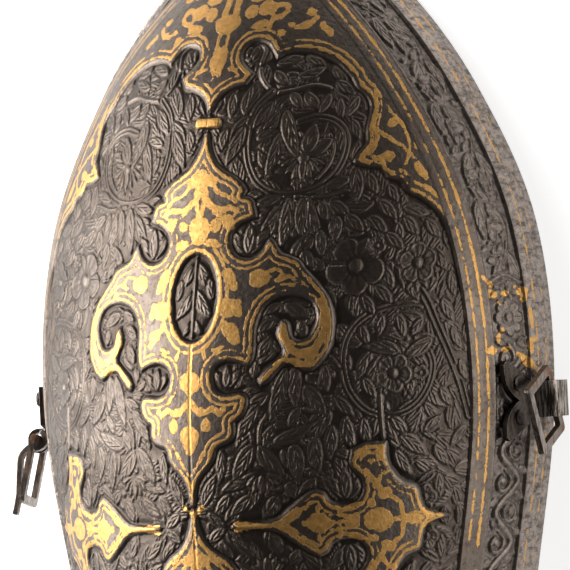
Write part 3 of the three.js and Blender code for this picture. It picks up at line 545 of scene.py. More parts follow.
def gildAll(lines, blobs, start=0.0, scale=1.0, side=1):
    # side is -1 where the drawing runs backwards from the start
    for width, points in lines:
        gildLine(field, [(a * scale, start + side * v) for a, v in points], width)
    for row in blobs:
        a, v, halfA, halfV, turn, point, lobes = (*row, 0, 0, 0)[:7]
        gildBlob(field, a * scale, start + side * v, halfA * scale, halfV,
                 turn * side, point, lobes)


def drawMedallion(start):
    c = cartouches
    scale = narrowing(start + c["medallionLength"] / 2)
    across = c["medallionHalfWidth"] * scale
    length = c["medallionLength"]
    right = outlinePoints(medallionStrokes, lambda a, v: (a * across, start + v * length))
    halfA, halfV = c["ovalHalfWidth"] * across, c["ovalHalfLength"] * length
    middle = start + c["ovalMiddle"] * length
    turns = np.linspace(-math.pi / 2, math.pi / 2, 60)
    oval = lambda more: np.column_stack(
        [(halfA + more) * np.cos(turns), middle + (halfV + more) * np.sin(turns)])
    fill = insideOf(field, overCrown(right)) & ~insideOf(field, overCrown(oval(0)))
    raiseOutline(field, (right, oval(0)), fill)
    gildAll(medallionGoldLines, medallionGoldBlobs, start, scale)
    for outside, width in c["ovalLines"]:
        gildLine(field, oval(outside), width, smooth=False)
    for a0, v0, a1, v1, width in c["ovalLeaves"]:
        sprig(field, a0 * scale, middle + v0, a1 * scale, middle + v1, width, -0.08, 0.56)
    stem(field, [(0, middle - 7.8), (0, middle + 7.8)], 0.7, 0.5, 0.2)
    if start > c["medallionStarts"][0]:
        gildAll(medallionProngs, (), start)


def drawPanel():
    c = cartouches
    right = outlinePoints(
        panelStrokes, lambda a, v: (a * c["panelHalfWidth"], v * c["panelLength"]))
    low = right[-1][1]
    # closed round the elbow, off the chart
    corners = np.vstack([right, [[95, low], [95, -1], [-1, -1], [-1, right[0][1]]]])
    raiseOutline(field, (right,), insideOf(field, corners))
    gildAll(panelGoldLines, panelGoldBlobs)


def drawStar():
    c = cartouches
    upper = outlinePoints(starStrokes, lambda a, v: (c["starStart"] + a * c["starWidth"],
                                                     c["midLine"] - v * c["starHalfLength"]))
    lower = upper[::-1].copy()
    lower[:, 1] = 2 * c["midLine"] - lower[:, 1]
    outline = np.vstack([upper, lower])
    raiseOutline(field, (outline,), insideOf(field, outline))
    gildAll(starGoldLines, starGoldBlobs)
    gildAll(starGoldLines, starGoldBlobs, 2 * c["midLine"], 1.0, -1)


for medallionStart in cartouches["medallionStarts"]:
    drawMedallion(medallionStart)
drawPanel()
drawStar()
for inset, width in zip(cartouches["lineInset"], cartouches["lineWidth"]):
    field["gold"] = np.maximum(field["gold"], width / 2 - np.abs(field["edge"] - inset))
print("cartouches drawn")


# Chiselled plants of the field
# stems: (width, gap between two side by side or 0, height, points)
fieldStems = [
    (1.0, 0, 0.52, [(8.4, 26), (10.8, 26.6), (10.8, 28.4), (9.4, 30.4), (10.6, 33.4),
     (13.4, 35.6), (17, 35.4), (21, 34.6), (24.5, 35.4)]),
    (0.56, 0.86, 0.46, [(12.8, 35.6), (10.2, 38.4), (9, 42), (8.8, 46), (9.6, 50), (11.6, 53.6),
     (15, 55.8), (19.5, 56.4), (24, 55.2), (27.4, 52.2), (29, 48), (28.6, 44.4), (26, 42),
     (22.4, 41.2), (19, 42)]),
    (0.6, 0, 0.48, [(23.6, 53.6), (26, 50.6), (26.6, 47), (25.4, 44.6)]),
    (0.7, 0, 0.48, [(19.6, 56.8), (25, 57.2), (30, 56.2), (34.4, 58)]),
    (0.56, 0.86, 0.46, [(49, 80), (44, 79.2), (38.6, 79.8), (34, 82), (31.4, 86), (31, 91),
     (32.4, 96), (36, 100), (41, 101), (45.6, 99.4), (48.6, 95.6), (49.4, 91), (47.4, 87)]),
    (0.7, 1.1, 0.52, [(57.8, 102), (55.6, 95), (52.8, 89), (50, 83.6), (47.4, 78.6), (44.4, 74.8),
     (41.4, 72)]),
    (1.0, 0, 0.5, [(38.6, 97), (39, 104), (39.8, 109.6), (42, 113.6), (46, 115.2), (49.6, 113.4)]),
    (0.8, 0, 0.5, [(46.4, 115.4), (45, 118.4), (46.4, 121.6)]),
    (0.8, 0, 0.5, [(12.8, 98), (12.5, 102), (13.3, 106)]),
    (0.8, 0, 0.5, [(16.6, 99), (14.6, 102), (14.3, 105.8)]),
    (0.6, 0, 0.45, [(1.2, 44.6), (1.9, 46.8), (4.2, 50.2), (6.8, 52.4)]),
    (0.7, 0, 0.45, [(30.2, 91), (27.6, 86.4), (29, 80.4)]),
]
# leaves: (across and along at the base, then at the tip, width, bend if any)
fieldLeaves = [
    (2.4, 36.4, 1.2, 39.4, 1.4), (4.8, 35.2, 5.4, 40.6, 2.4, 0.1),
    (4.4, 42.4, 3.2, 46.8, 2.2, -0.1), (8.8, 40.4, 5.0, 45, 2.5), (8.2, 42.2, 5.4, 50.2, 2.9, 0.08),
    (13.2, 37.6, 10.6, 43.2, 2.8, 0.15), (10.8, 45, 15.2, 42.6, 2.2, 0.25), (13, 51, 11.3, 47, 1.9),
    (15.8, 43.6, 14.2, 52.8, 2.7, 0.1), (16.6, 36, 19.6, 38.8, 2.1, 0.1),
    (19.6, 36, 22.8, 39.8, 2.3, -0.1), (24.6, 36.6, 23.4, 40.6, 2, 0.1),
    (26.6, 37.6, 27.6, 41.6, 1.9), (30.6, 37.4, 28.6, 41.4, 2.1), (29.8, 42, 31.6, 46, 2.2),
    (31.4, 46.4, 31, 51, 2.3, 0.1), (12.6, 30, 17.6, 28, 2.3, 0.1), (12.6, 31.4, 15.8, 34.2, 2),
    (18.2, 28.4, 22.8, 30.2, 2.3, 0.1), (17.4, 32.8, 23, 31.6, 2.2, -0.1),
    (24.2, 30.8, 28, 34, 2.3, 0.1), (25.4, 34, 29.8, 36.8, 2.3), (25.4, 55.4, 30.6, 53, 2.3, 0.1),
    (16.8, 56.8, 11.8, 58.8, 2.4, 0.1), (16.8, 58.6, 13.8, 66.4, 3.1, 0.1),
    (22.2, 57, 23.8, 67, 2.9, -0.2), (18.4, 57, 18.6, 67, 2.9, 0.12),
    (21.2, 57.2, 20.6, 64.8, 2.3, -0.05), (24.8, 58, 26.2, 62, 2), (28.2, 61.2, 28.2, 66.2, 2.7),
    (31.4, 51.8, 32.6, 58.4, 2.7, 0.05), (34, 53, 36, 57.2, 2.3), (26.4, 58.4, 31, 60.4, 2.4, 0.1),
    (30, 61, 33.8, 64.4, 2.6), (21.8, 67.6, 24.2, 71.2, 2.4), (24.8, 63.8, 26.4, 69, 2.3, 0.1),
    (36.4, 58.4, 40.4, 62.2, 2.7), (38.2, 55.2, 40.4, 59, 2.2), (41.2, 60, 47.4, 60.8, 2.7, 0.1),
    (41.6, 61.8, 45, 65.6, 2.7), (40.6, 63, 41.4, 68.2, 2.4, 0.1), (46.4, 62.6, 50, 66.4, 2.5),
    (34.4, 61.6, 38.8, 64.4, 2.6, 0.1), (38.2, 65, 42.2, 68.2, 2.4), (48.8, 68.6, 51.6, 73, 2.6),
    (50.8, 64.6, 52, 69, 2), (52.4, 73, 53.8, 78.4, 2.4), (26.2, 74.8, 29.6, 79.4, 2.5, 0.1),
    (34.2, 77.2, 37, 81, 2.4), (36.4, 75.4, 40.8, 78.4, 2.7, 0.1), (38, 71.6, 40.6, 76, 2.4),
    (41.2, 71.8, 46.6, 78.4, 3.1, 0.08), (47.8, 77, 49.4, 72.6, 2.2), (50.8, 78.4, 53.8, 83.2, 2.3),
    (34.2, 83, 36, 87, 2.1), (38.6, 81.2, 38, 85.4, 2), (41.4, 81.2, 44.2, 85.4, 2.2, 0.2),
    (47, 82.2, 44.6, 85.6, 2), (36.6, 88, 34, 93.6, 2.7), (38.4, 89.4, 36.4, 96.2, 2.9, 0.1),
    (44.6, 91.4, 45, 97.6, 2.5), (42.4, 88.8, 34.8, 86.4, 2.9, -0.1),
    (49.2, 86.4, 43.4, 90.4, 3.1, 0.1), (29.4, 91.8, 26.2, 95.6, 2.2),
    (29.2, 96.8, 33.4, 100.8, 2.5), (53.2, 84.4, 56, 88.8, 2), (55.4, 90.6, 57.6, 95.4, 2),
    (51.2, 96, 54, 100, 2.2), (57.2, 104, 53.2, 108, 2.3), (27.4, 90.6, 28, 96, 2.2),
    (22.6, 98.6, 20.2, 102.6, 2), (23.6, 94.2, 27.8, 100.6, 3.3), (21.6, 90.4, 21.8, 98.4, 2.7),
    (19.6, 90.6, 17.6, 101.4, 2.9, 0.08), (16.6, 95.4, 11.6, 99.6, 2.7, 0.1),
    (14.4, 97.6, 10.2, 104.6, 2.9, 0.05), (6.6, 106.2, 6.8, 113, 2.3, 0.1),
    (2.2, 117.4, 4.6, 110.6, 2.5, 0.1), (19, 106.6, 20.6, 111.4, 2),
    (28.8, 102.4, 28.8, 109.4, 2.7, 0.1), (31.6, 100.8, 32.4, 107.8, 2.7, -0.1),
    (35, 101.2, 36, 107, 2.5), (25.6, 104.6, 25.2, 111.8, 3.1, -0.1),
    (21, 105.6, 23, 113.4, 3.3, 0.15), (17.2, 105, 25.6, 103, 2.8, -0.12),
    (12.6, 111.8, 6.6, 115, 2.6, 0.1), (14.2, 105.8, 18.8, 112.2, 3.3, -0.05),
    (13.2, 105.4, 9.2, 112.8, 3.3, 0.05), (8, 115.2, 5, 119.6, 2.3, 0.05),
    (12.4, 115.4, 8.4, 119.8, 2.5, 0.1), (19.2, 113.6, 22.4, 116.8, 2.4),
    (25.2, 112.6, 21.8, 117.8, 2.6, 0.1), (17.6, 115.8, 15.6, 120.4, 2.8),
    (3.2, 118.6, 7, 121.4, 2.2), (40.8, 101.4, 44.2, 104.6, 2.5),
    (42.4, 105, 48.6, 108.6, 3.1, 0.1), (41.4, 108, 44.6, 113, 2.5),
    (47.6, 104.6, 51.8, 101.4, 2.5), (49.8, 107.4, 53, 111.6, 2.5), (50.6, 113, 50.8, 118, 2.3),
    (35, 93.4, 37.8, 97.6, 2.3), (17.2, 81, 14, 83.8, 2.4, 0.1), (18.2, 78, 14.8, 80, 2.1),
    (19, 78.2, 24.2, 80.4, 2.6, 0.1), (22.4, 81.4, 23.4, 85.2, 1.9), (16.6, 84.6, 14.2, 88.6, 2.3),
    (13.4, 88.8, 13.8, 93, 2),
]
# flowers: (across, along, radius, petals, turn)
fieldFlowers = [
    (32.6, 71.2, 6.0, 5, 20), (45.2, 71.2, 4.2, 5, 50), (41.2, 92.8, 4.0, 5, 10),
    (47.4, 117.6, 2.8, 5, 0), (26.8, 83.2, 1.6, 5, 0), (46.8, 93, 1.8, 5, 0),
    (36.6, 67.4, 1.9, 5, 20),
]
# fans of petals: (across, along, turn, spread, petals, length, width)
fieldFans = [
    (20.6, 49.2, 90, 190, 9, 4.8, 1.5), (20.8, 48.2, -75, 100, 3, 6.0, 3.2),
    (14.6, 111.6, 90, 170, 7, 4.0, 1.5), (45.4, 72.6, 60, 120, 5, 4.6, 1.6),
]
roundBuds = [                # in the round cut-outs: across, along, turn, length
    (10.8, 67.8, -90, 6.2), (6.9, 29, -70, 4), (31, 117, -90, 6.2), (7.8, 94, -90, 4.6),
]
cornerCurl = [(9.4, 29.6), (9.6, 26.6), (7.4, 25), (5.2, 26), (5.2, 28.2), (6.8, 28.8)]
filler = {
    "jitter": 0.45,          # share of the spacing
    "lean": 55,              # degrees off the line from the nearest swirl, and how far they stray
    "stray": 75,
    "half": 0.42,            # half of the place that a leaf needs, as a share of its length
    "bare": 0.12,            # ground below this height counts as bare
    "clear": -0.2,           # millimetres off a cartouche, and the share that may be nearer
    "nearer": 0.3,
    "flowers": 0.06,         # share that are small flowers
    "width": (0.44, 0.58),
    "bend": 0.25,
    "height": (0.36, 0.48),
    "swirls": ((20, 48), (41, 90), (32, 71), (14, 112), (47, 118), (44, 62)),
    # seed, spacing, shortest and longest leaf, share of the place that may be taken already
    "under": ((4, 2.8, (6.2, 8.4), 0.34), (9, 2.2, (4.4, 5.6), 0.3)),
    "between": ((14, 1.6, (3.0, 4.0), 0.12),),
    "band": (21, 2.6, (2.4, 3.4), 0.34),
    "bandSwirls": ((30, 68),),
}


def drawField():
    for width, doubled, height, points in fieldStems:
        stem(field, points, width, height, 0.25, doubled)
    for row in fieldLeaves:
        sprig(field, *row)
    for row in fieldFans:
        fan(field, *row)
    sprig(field, 16.2, 39.4, 18.8, 49.6, 3.0, -0.06)         # the long leaf across the upper ring
    knob(field, 20.6, 49.2, 1.2, 0.55)
    for a, v, radius, petals, turn in fieldFlowers:
        flower(field, a, v, radius, petals, turn)
    for a, v, turn, length in roundBuds:
        fan(field, a, v, turn, 80, 3, length, length * 0.4)
    stem(field, cornerCurl, 1.0, 0.55, 0.4)


def fillGround(chart, low, high, keepOff, swirls, seed, spacing, sizes, taken):
    # smaller leaves and buds wherever the ground is still bare
    rng = np.random.default_rng(seed)
    f = filler
    for along in np.arange(low, high, spacing):
        for across in np.arange(0.8, chart["relief"].shape[1] * chartStep - 1, spacing):
            a = across + rng.uniform(-f["jitter"], f["jitter"]) * spacing
            v = along + rng.uniform(-f["jitter"], f["jitter"]) * spacing
            centre = min(swirls, key=lambda c: (c[0] - a) ** 2 + (c[1] - v) ** 2)
            turn = math.degrees(math.atan2(v - centre[1], a - centre[0])) + f["lean"]
            turn += rng.uniform(-f["stray"], f["stray"])
            length = rng.uniform(*sizes)
            kind = rng.random()
            middleA = a + 0.5 * length * math.cos(math.radians(turn))
            middleV = v + 0.5 * length * math.sin(math.radians(turn))
            found = turnedWindow(chart, middleA, middleV, f["half"] * length)
            if found is None or keepOff(middleA, middleV):
                continue
            relief, edge = chart["relief"][found[0]], chart["edge"][found[0]]
            if relief.size == 0 or (relief > f["bare"]).mean() > taken:
                continue
            if (edge > f["clear"]).mean() > f["nearer"]:
                continue
            if kind < f["flowers"]:
                flower(chart, middleA, middleV, f["half"] * length, 5, turn, 0.46)
            else:
                leaf(chart, a, v, turn, length, length * rng.uniform(*f["width"]),
                     rng.uniform(-f["bend"], f["bend"]), rng.uniform(*f["height"]))


pastField = lambda a, v: a > halfArc(v) - fieldStart * borderScale(v) + 1
for row in filler["under"]:
    fillGround(field, 26, 122, pastField, filler["swirls"], *row)
drawField()
for row in filler["between"]:
    fillGround(field, 26, 122, pastField, filler["swirls"], *row)
print("field chiselled")

# The field's second half mirrors the first, and starts again towards the wrist.
wristPart = {"from": 203, "back": 163}
rows = np.arange(field["relief"].shape[0]) * chartStep
source = np.where(rows > cartouches["midLine"], 2 * cartouches["midLine"] - rows, rows)
source = np.where(rows > wristPart["from"], rows - wristPart["back"], source)
source = np.clip(np.round(source / chartStep).astype(int), 0, len(rows) - 1)
for key in ("relief", "vein", "veined"):
    field[key] = field[key][source]

# Heights under the skin: the cartouches' flat tops with a beaded edge, their walls, and the ground
edge = field["edge"]
tops = -plate["plateauDepth"] - 0.10 * np.exp(-((edge - 0.3) / 0.28) ** 2)
relief = np.maximum(field["relief"], 0.16 * np.clip((-edge - 0.7) / 1.0, 0, 1))
ground = -plate["fieldDepth"] + relief * np.clip((-edge - 0.25) / 0.5, 0, 1) * 0.95
wall = np.clip(edge / 0.22 * 0.5 + 0.5, 0, 1)
field["height"] = ground * (1 - wall) + np.where(edge > 0, tops, -plate["plateauDepth"]) * wall

# A small gilded bar lies across the first medallion's neck
neckBar = {"before": 1.7, "halfWidth": 2.3, "halfLength": 0.5, "round": 0.55, "height": 0.3,
           "sunk": 0.05}
start = cartouches["medallionStarts"][0]
place, a, v = window(field, 0, 3.6, start - 3.4, start + 0.2)
away = (np.maximum(np.abs(v - start + neckBar["before"]) - neckBar["halfLength"], 0)
        + np.maximum(a - neckBar["halfWidth"], 0))
bar = np.sqrt(np.clip(1 - (away / neckBar["round"]) ** 2, 0, None))
height = field["height"][place]
field["height"][place] = np.where(
    bar > 0, np.maximum(height, neckBar["height"] * bar - neckBar["sunk"]), height)
field["gold"][place] = np.maximum(field["gold"][place], 0.5 - away)
field["veined"][place] *= bar == 0


# The border, on a chart of its own
# across is measured from the rim's edge, along is the length walked along the band
borderRows = np.concatenate([[0], np.geomspace(1e-3, 306, 4000)])


def bandWalk():
    x = np.empty(len(borderRows))
    z = np.empty(len(borderRows))
    for i, distance in enumerate(borderRows):
        sx, sz, arc = halfSection(distance)
        reach = arc[-1] - 0.5 * (bandStart + bandEnd) * borderScale(distance)
        x[i] = np.interp(reach, arc, sx)
        z[i] = np.interp(reach, arc, sz)
    steps = np.sqrt(np.diff(x) ** 2 + np.diff(z) ** 2 + np.diff(borderRows) ** 2)
    return np.concatenate([[0], np.cumsum(steps)])


bandLengths = bandWalk()
walkAt = lambda distance: np.interp(distance, borderRows, bandLengths)
border = newChart(25.5, float(bandLengths[-1]) + 2)
bandMiddle = 0.5 * (bandStart + bandEnd)
bandPlants = {
    "leafUntil": walkAt(74) - 3,
    "panelFrom": walkAt(76),
    "panelTo": walkAt(90),
    "waveFrom": walkAt(91),
    "waveUntil": bandLengths[-1] - 8,
    "wavePeriod": 12.4,
    "waveReach": 2.7,
    "leafPeriod": 11,
    # stem beside the long leaves: across from the band's middle, along
    "leafStem": ((-2.6, -1), (-0.6, 4), (2.6, 8), (2.4, 12)),
    # leaves: across, along, turn, length, width, bend, height
    "leaves": (
        (-0.4, 2.0, -26, 9.5, 3.4, 0.12, 0.52), (-2.2, 1.4, 14, 8.4, 2.9, -0.14, 0.5),
        (-1.0, 5.0, -4, 6.6, 2.4, 0.1, 0.5), (2.6, 10.5, 60, 4.2, 2.4, 0, 0.5),
        (2.4, 7.4, 110, 3.4, 2.0, 0, 0.5)),
}
bandLines = {
    # grooves: from the rim; gold: from the rim, width, how well it has held
    "grooves": (3.13, 6.13, bandStart - 0.5, bandEnd + 0.5, 20.56, 22.86),
    "gold": ((3.13, 0.36, 0.5), (6.13, 0.44, 0.6), (20.56, 0.56, 1.0), (22.86, 0.44, 0.72)),
}
bandGold = [
    # from the rim, from the elbow, half across, half along, turn
    (18.3, 75.5, 1.9, 0.55, -38), (17.4, 78.2, 1.2, 0.9, 0), (14.1, 78.2, 1.0, 0.6, 0),
    (11.1, 76.9, 0.45, 0.35, 0), (9.3, 77.9, 1.8, 0.9, 10), (9.0, 78.8, 0.9, 1.2, 0),
    (7.6, 83.4, 0.7, 2.3, 6), (15.9, 80.1, 0.5, 0.4, 0), (18.9, 89.4, 2.0, 0.95, 0),
    (15.5, 89.4, 1.3, 0.8, 20), (16.9, 87.2, 0.7, 1.3, -25), (15.9, 85.4, 0.6, 0.5, 0),
    (8.3, 89.0, 0.8, 1.6, 10), (7.6, 87.6, 1.2, 0.6, 0), (9.2, 92.1, 3.3, 0.95, -33),
    (6.6, 93.6, 0.6, 1.3, 0),
]


def drawLongLeaves():
    # long grooved leaves beside a winding stem, with round ones between
    p = bandPlants
    side = 1
    along = 4.0
    while along < p["leafUntil"]:
        stem(border, [(bandMiddle + a * side, along + v) for a, v in p["leafStem"]], 0.9, 0.5, 0.1)
        for a, v, turn, length, width, bend, height in p["leaves"]:
            leaf(border, bandMiddle + a * side, along + v, 90 + turn * side, length, width,
                 bend * side, height)
        along += p["leafPeriod"]
        side = -side


def drawRosette():
    p = bandPlants
    stem(border, [(bandStart + 0.9, p["panelFrom"]), (bandMiddle, p["panelFrom"] - 1.6),
                  (bandEnd - 0.9, p["panelFrom"])], 0.9, 0.6, 0)
    flower(border, bandMiddle, 0.5 * (p["panelFrom"] + p["panelTo"]), 3.9, 8, 0, 0.66, 0.3)
    for end, flip, over in ((p["panelFrom"] + 1.6, 1, 0), (p["panelTo"] - 1.6, -1, 180)):
        for a in (-3, 3):
            leaf(border, bandMiddle + a * 0.5, end, 90 - flip * a * 22 + over, 3.4, 1.6, 0, 0.5)


def drawWave():
    # a wave of thick tendrils with curls in its bends
    p = bandPlants
    side = 1
    along = p["waveFrom"]
    points = []
    turns = np.radians(np.linspace(-70, 250, 9))
    while along < p["waveUntil"]:
        points.append((bandMiddle - p["waveReach"] * side, along))
        middle = bandMiddle + 1.5 * side
        curl = [(middle - side * (2.5 - 0.14 * k) * math.cos(t) * 0.9,
                 along + (2.6 - 0.16 * k) * math.sin(t)) for k, t in enumerate(turns)]
        stem(border, curl, 1.5, 0.66, 0.55)
        knob(border, middle, along, 1.0, 0.62)
        leaf(border, middle + 1.2 * side, along + 3.2, 90 - 50 * side, 3.0, 1.6, 0, 0.5)
        along += p["wavePeriod"] / 2
        side = -side
    stem(border, points, 1.7, 0.68, 0)


drawLongLeaves()
drawRosette()
drawWave()
offBand = lambda a, v: a < bandStart + 1.2 or a > bandEnd - 1.2
fillGround(border, 3, float(bandLengths[-1]) - 6, offBand, filler["bandSwirls"], *filler["band"])
rows, columns = border["relief"].shape
across = (np.arange(columns) * chartStep)[None, :]
along = (np.arange(rows) * chartStep)[:, None]
bandWall = 0.35               # width of the band's sloping sides
inBand = (across > bandStart + bandWall) & (across < bandEnd - bandWall)
border["relief"] *= inBand
border["height"] = np.where(inBand, -plate["bandDepth"] + border["relief"] * 0.9, 0.0)
for line in bandLines["grooves"]:
    groove = 0.05 * np.exp(-((across - line) / 0.22) ** 2)
    border["height"] = border["height"] - groove * (~inBand)
for line, width, holds in bandLines["gold"]:
    breaks = (np.sin(along * 1.9 + line) + np.sin(along * 0.83 + 2 * line)
              + np.sin(along * 3.7 + 3 * line))
    worn = np.minimum((holds - 0.55) * 0.5 + 0.16 * breaks * (1.15 - holds), 0.06)
    border["gold"] = np.maximum(border["gold"], width / 2 + worn - np.abs(across - line))
for a, v, halfA, halfV, turn in bandGold:
    gildBlob(border, a, float(walkAt(v)), halfA, halfV, turn)
inPanel = (across > 7) & (across < 20) & (border["gold"] > 0)
border["gold"] = np.where(inPanel, border["gold"] * 1.7, border["gold"])   # little has worn off
print("border chiselled")


def soften(values):
    values = 0.25 * np.roll(values, 1, 0) + 0.5 * values + 0.25 * np.roll(values, -1, 0)
    return 0.25 * np.roll(values, 1, 1) + 0.5 * values + 0.25 * np.roll(values, -1, 1)


field["height"] = soften(field["height"])
border["height"] = soften(border["height"])


def readChart(values, across, along):
    # between the chart's points
    a = np.clip(across / chartStep, 0, values.shape[1] - 1.001)
    v = np.clip(along / chartStep, 0, values.shape[0] - 1.001)
    c, r = a.astype(int), v.astype(int)
    fa, fv = a - c, v - r
    return ((values[r, c] * (1 - fa) + values[r, c + 1] * fa) * (1 - fv)
            + (values[r + 1, c] * (1 - fa) + values[r + 1, c + 1] * fa) * fv)


def nearestChart(values, across, along):
    c = np.clip(np.round(across / chartStep), 0, values.shape[1] - 1).astype(int)
    r = np.clip(np.round(along / chartStep), 0, values.shape[0] - 1).astype(int)
    return values[r, c]


# The skins of the plate
def bandCells():
    # distances from the rim of the skins' lines: start, end, number
    runs = ((0, bandStart, 24), (bandStart, bandStart + bandWall, 2),
            (bandStart + bandWall, bandEnd - bandWall, 32), (bandEnd - bandWall, bandEnd, 2),
            (bandEnd, fieldStart, 19))
    cells = [np.linspace(start, end, count, endpoint=False) for start, end, count in runs]
    return np.concatenate(cells + [[fieldStart, fieldStart + 0.3]])


borderCells = bandCells()


def acrossTable(distances, fieldCells, coarse):
    edge = borderCells
    if coarse > 1:
        corners = [bandStart, bandStart + bandWall, bandEnd - bandWall, bandEnd, fieldStart]
        edge = np.unique(np.concatenate([borderCells[::coarse], corners]))
    table = []
    for distance in distances:
        half, scale = halfArc(distance), borderScale(distance)
        left = edge * scale - half
        reach = half - edge[-1] * scale
        middle = np.linspace(-reach, reach, fieldCells + 1)[1:-1]
        table.append(np.concatenate([left, middle, -left[::-1]]))
    return np.array(table)


def chartReader(across, distances):
    # reads one layer of both charts, each where it holds
    distances = np.asarray(distances)[:, None] + 0 * across
    half, scale = halfArc(distances), borderScale(distances)
    fromRim = (half - np.abs(across)) / np.maximum(scale, 1e-3)
    inField = fromRim > fieldStart + 0.02
    walk = walkAt(distances)
    read = lambda key, how: np.where(inField, how(field[key], np.abs(across), distances),
                                     how(border[key], fromRim, walk))
    return read, distances, half, fromRim, inField


def skinVeins(across, distances):
    read, distances, half, fromRim, inField = chartReader(across, distances)
    inBand = (fromRim > bandStart + 0.5) & (fromRim < bandEnd - 0.5)
    clear = nearestChart(field["edge"], np.abs(across), distances) < -0.3
    cut = np.where(inField, clear, inBand)
    return read("vein", nearestChart), read("veined", nearestChart) * cut


def skinHeights(across, distances):
    read, distances, half, fromRim, inField = chartReader(across, distances)
    shallow = np.clip(half / plate["fadeArc"], 0, 1)
    toWrist = plate["length"] - plate["wristRim"] - distances
    plain = np.where(fromRim > bandStart, np.clip(toWrist / 0.35, 0, 1), 1)
    gold = np.where(toWrist < 0.4, -1.5, read("gold", readChart))
    wristLine = 0.2 - np.abs(plate["length"] - 2.4 - distances)
    gold = np.maximum(gold, np.where(fromRim > 3.2, wristLine, -3))
    return read("height", readChart) * shallow * plain, gold


def placed(name, data):
    piece = bpy.data.objects.new(name, data)
    bpy.context.scene.collection.objects.link(piece)
    return piece


def gridMesh(name, points):
    # faces through rows of points in millimetres, and the row and column of every vertex
    rowCount, columnCount = points.shape[:2]
    mesh = bpy.data.meshes.new(name)
    bm = bmesh.new()
    bmesh.ops.create_grid(bm, x_segments=columnCount - 1, y_segments=rowCount - 1, size=1)
    bm.to_mesh(mesh)
    bm.free()
    grid = np.empty(len(mesh.vertices) * 3)
    mesh.vertices.foreach_get("co", grid)
    grid = (grid.reshape(-1, 3) + 1) / 2
    column = np.round(grid[:, 0] * (columnCount - 1)).astype(int)
    row = rowCount - 1 - np.round(grid[:, 1] * (rowCount - 1)).astype(int)
    place = points[row, column] * mm
    place[:, 0] += middleX
    mesh.vertices.foreach_set("co", place.ravel())
    return mesh, row, column


def turnsBy(edge, angle):
    return len(edge.link_faces) == 2 and edge.calc_face_angle(0) > math.radians(angle)


def gridNormals(points):
    normal = np.cross(np.gradient(points, axis=1), -np.gradient(points, axis=0))
    return normal / np.maximum(np.linalg.norm(normal, axis=2, keepdims=True), 1e-9)


def surfaceGrid(name, distances, across, attributes):
    # one more row at each end, so that shading runs on over the joins between the skins
    first, last = distances[0], distances[-1]
    rowsAt = np.concatenate([[max(first - 0.15, 0)], distances, [last + 0.15]])
    columnsAt = across(rowsAt)
    base = skinPoints(columnsAt, rowsAt)
    normal = gridNormals(base)
    normal[rowsAt < 1e-6] = (0, 1, 0)
    points = base + normal * skinHeights(columnsAt, rowsAt)[0][..., None]
    onFloor = np.abs(np.abs(columnsAt) - halfArc(rowsAt)[:, None]) < 1e-6
    points[..., 2] = np.where(onFloor, 0, points[..., 2])
    fine = gridNormals(points)
    if first < 1e-6:
        fine[:2] = (0, 1, 0)
    mesh, row, column = gridMesh(name, points[1:-1])
    for key, values in attributes(distances).items():
        layer = mesh.attributes.new(key, "FLOAT", "POINT")
        layer.data.foreach_set("value", values[row, column].astype(np.float32))
    mesh.polygons.foreach_set("use_smooth", np.ones(len(mesh.polygons), bool))
    mesh.update()
    mesh.normals_split_custom_set_from_vertices(fine[1:-1][row, column])
    return placed(name, mesh)


skins = {
    # name: (from the elbow, to, spacing along, faces across the field, every n-th border line)
    "skin_elbow": (0.0, 30.0, 0.32, 250, 1),
    "skin_upper": (30.0, 63.0, 0.27, 430, 1),
    "skin_middle": (63.0, 98.0, 0.26, 440, 1),
    "skin_lower": (98.0, 135.0, 0.27, 430, 1),
    "skin_under": (135.0, 212.0, 0.5, 240, 2),
    "skin_wrist": (212.0, 300.0, 0.5, 190, 2),
}
plateSkins = []
for name, (start, end, spacing, fieldCells, coarse) in skins.items():
    distances = crownRows(start, end, spacing)
    table = lambda rowsAt, cells=fieldCells, every=coarse: acrossTable(rowsAt, cells, every)

    def skinAttributes(distances, table=table):
        height, gold = skinHeights(table(distances), distances)
        vein, veined = skinVeins(table(distances), distances)
        fromRim = chartReader(table(distances), distances)[3]
        # paler rim and band: partly wear, partly painted reflection of the bright floor
        rim = np.clip((bandStart + 0.3 - fromRim) / 0.8, 0, 1)
        rim = np.maximum(rim, 0.45 * (fromRim < bandEnd))      # the band is made paler too, but less: painted reflection
        return {"gold": gold, "level": height, "vein": vein, "veined": veined, "rim": rim}

    piece = surfaceGrid(name, distances, table, skinAttributes)
    plateSkins.append(piece)
    print(name, len(piece.data.polygons))


# The hollow side, the rims' faces and the wrist's end
hollow = {"spacing": 1.5, "faces": 120, "weld": 0.02, "crease": 45}    # degrees


def hollowGrid():
    distances = crownRows(0.0, plate["length"], hollow["spacing"])
    count = hollow["faces"]
    inner = np.array([np.linspace(-halfArc(d), halfArc(d), count + 1) for d in distances])
    base = skinPoints(inner, distances)
    normal = gridNormals(base)
    normal[0] = (0, 1, 0)
    normal[:, [0, -1], 2] = 0
    normal /= np.maximum(np.linalg.norm(normal, axis=2, keepdims=True), 1e-9)
    under = base - normal * plate["thickness"]
    under[:, [0, -1], 2] = 0
    under[-1, :, 1] = -plate["length"] / 2
    # out to the rims' outer edge, and to the wrist's
    points = np.concatenate([base[:, :1], under, base[:, -1:]], axis=1)
    end = np.concatenate([base[-1:, :1], base[-1:], base[-1:, -1:]], axis=1)
    return np.concatenate([points, end], axis=0)


mesh = gridMesh("plate_hollow", hollowGrid())[0]
bm = bmesh.new()
bm.from_mesh(mesh)
bmesh.ops.remove_doubles(bm, verts=bm.verts, dist=hollow["weld"] * mm)
bmesh.ops.reverse_faces(bm, faces=bm.faces)
for face in bm.faces:
    face.smooth = True
for edge in bm.edges:
    edge.smooth = not turnsBy(edge, hollow["crease"])
bm.to_mesh(mesh)
bm.free()
plateHollow = placed("plate_hollow", mesh)
print("hollow side", len(mesh.polygons))


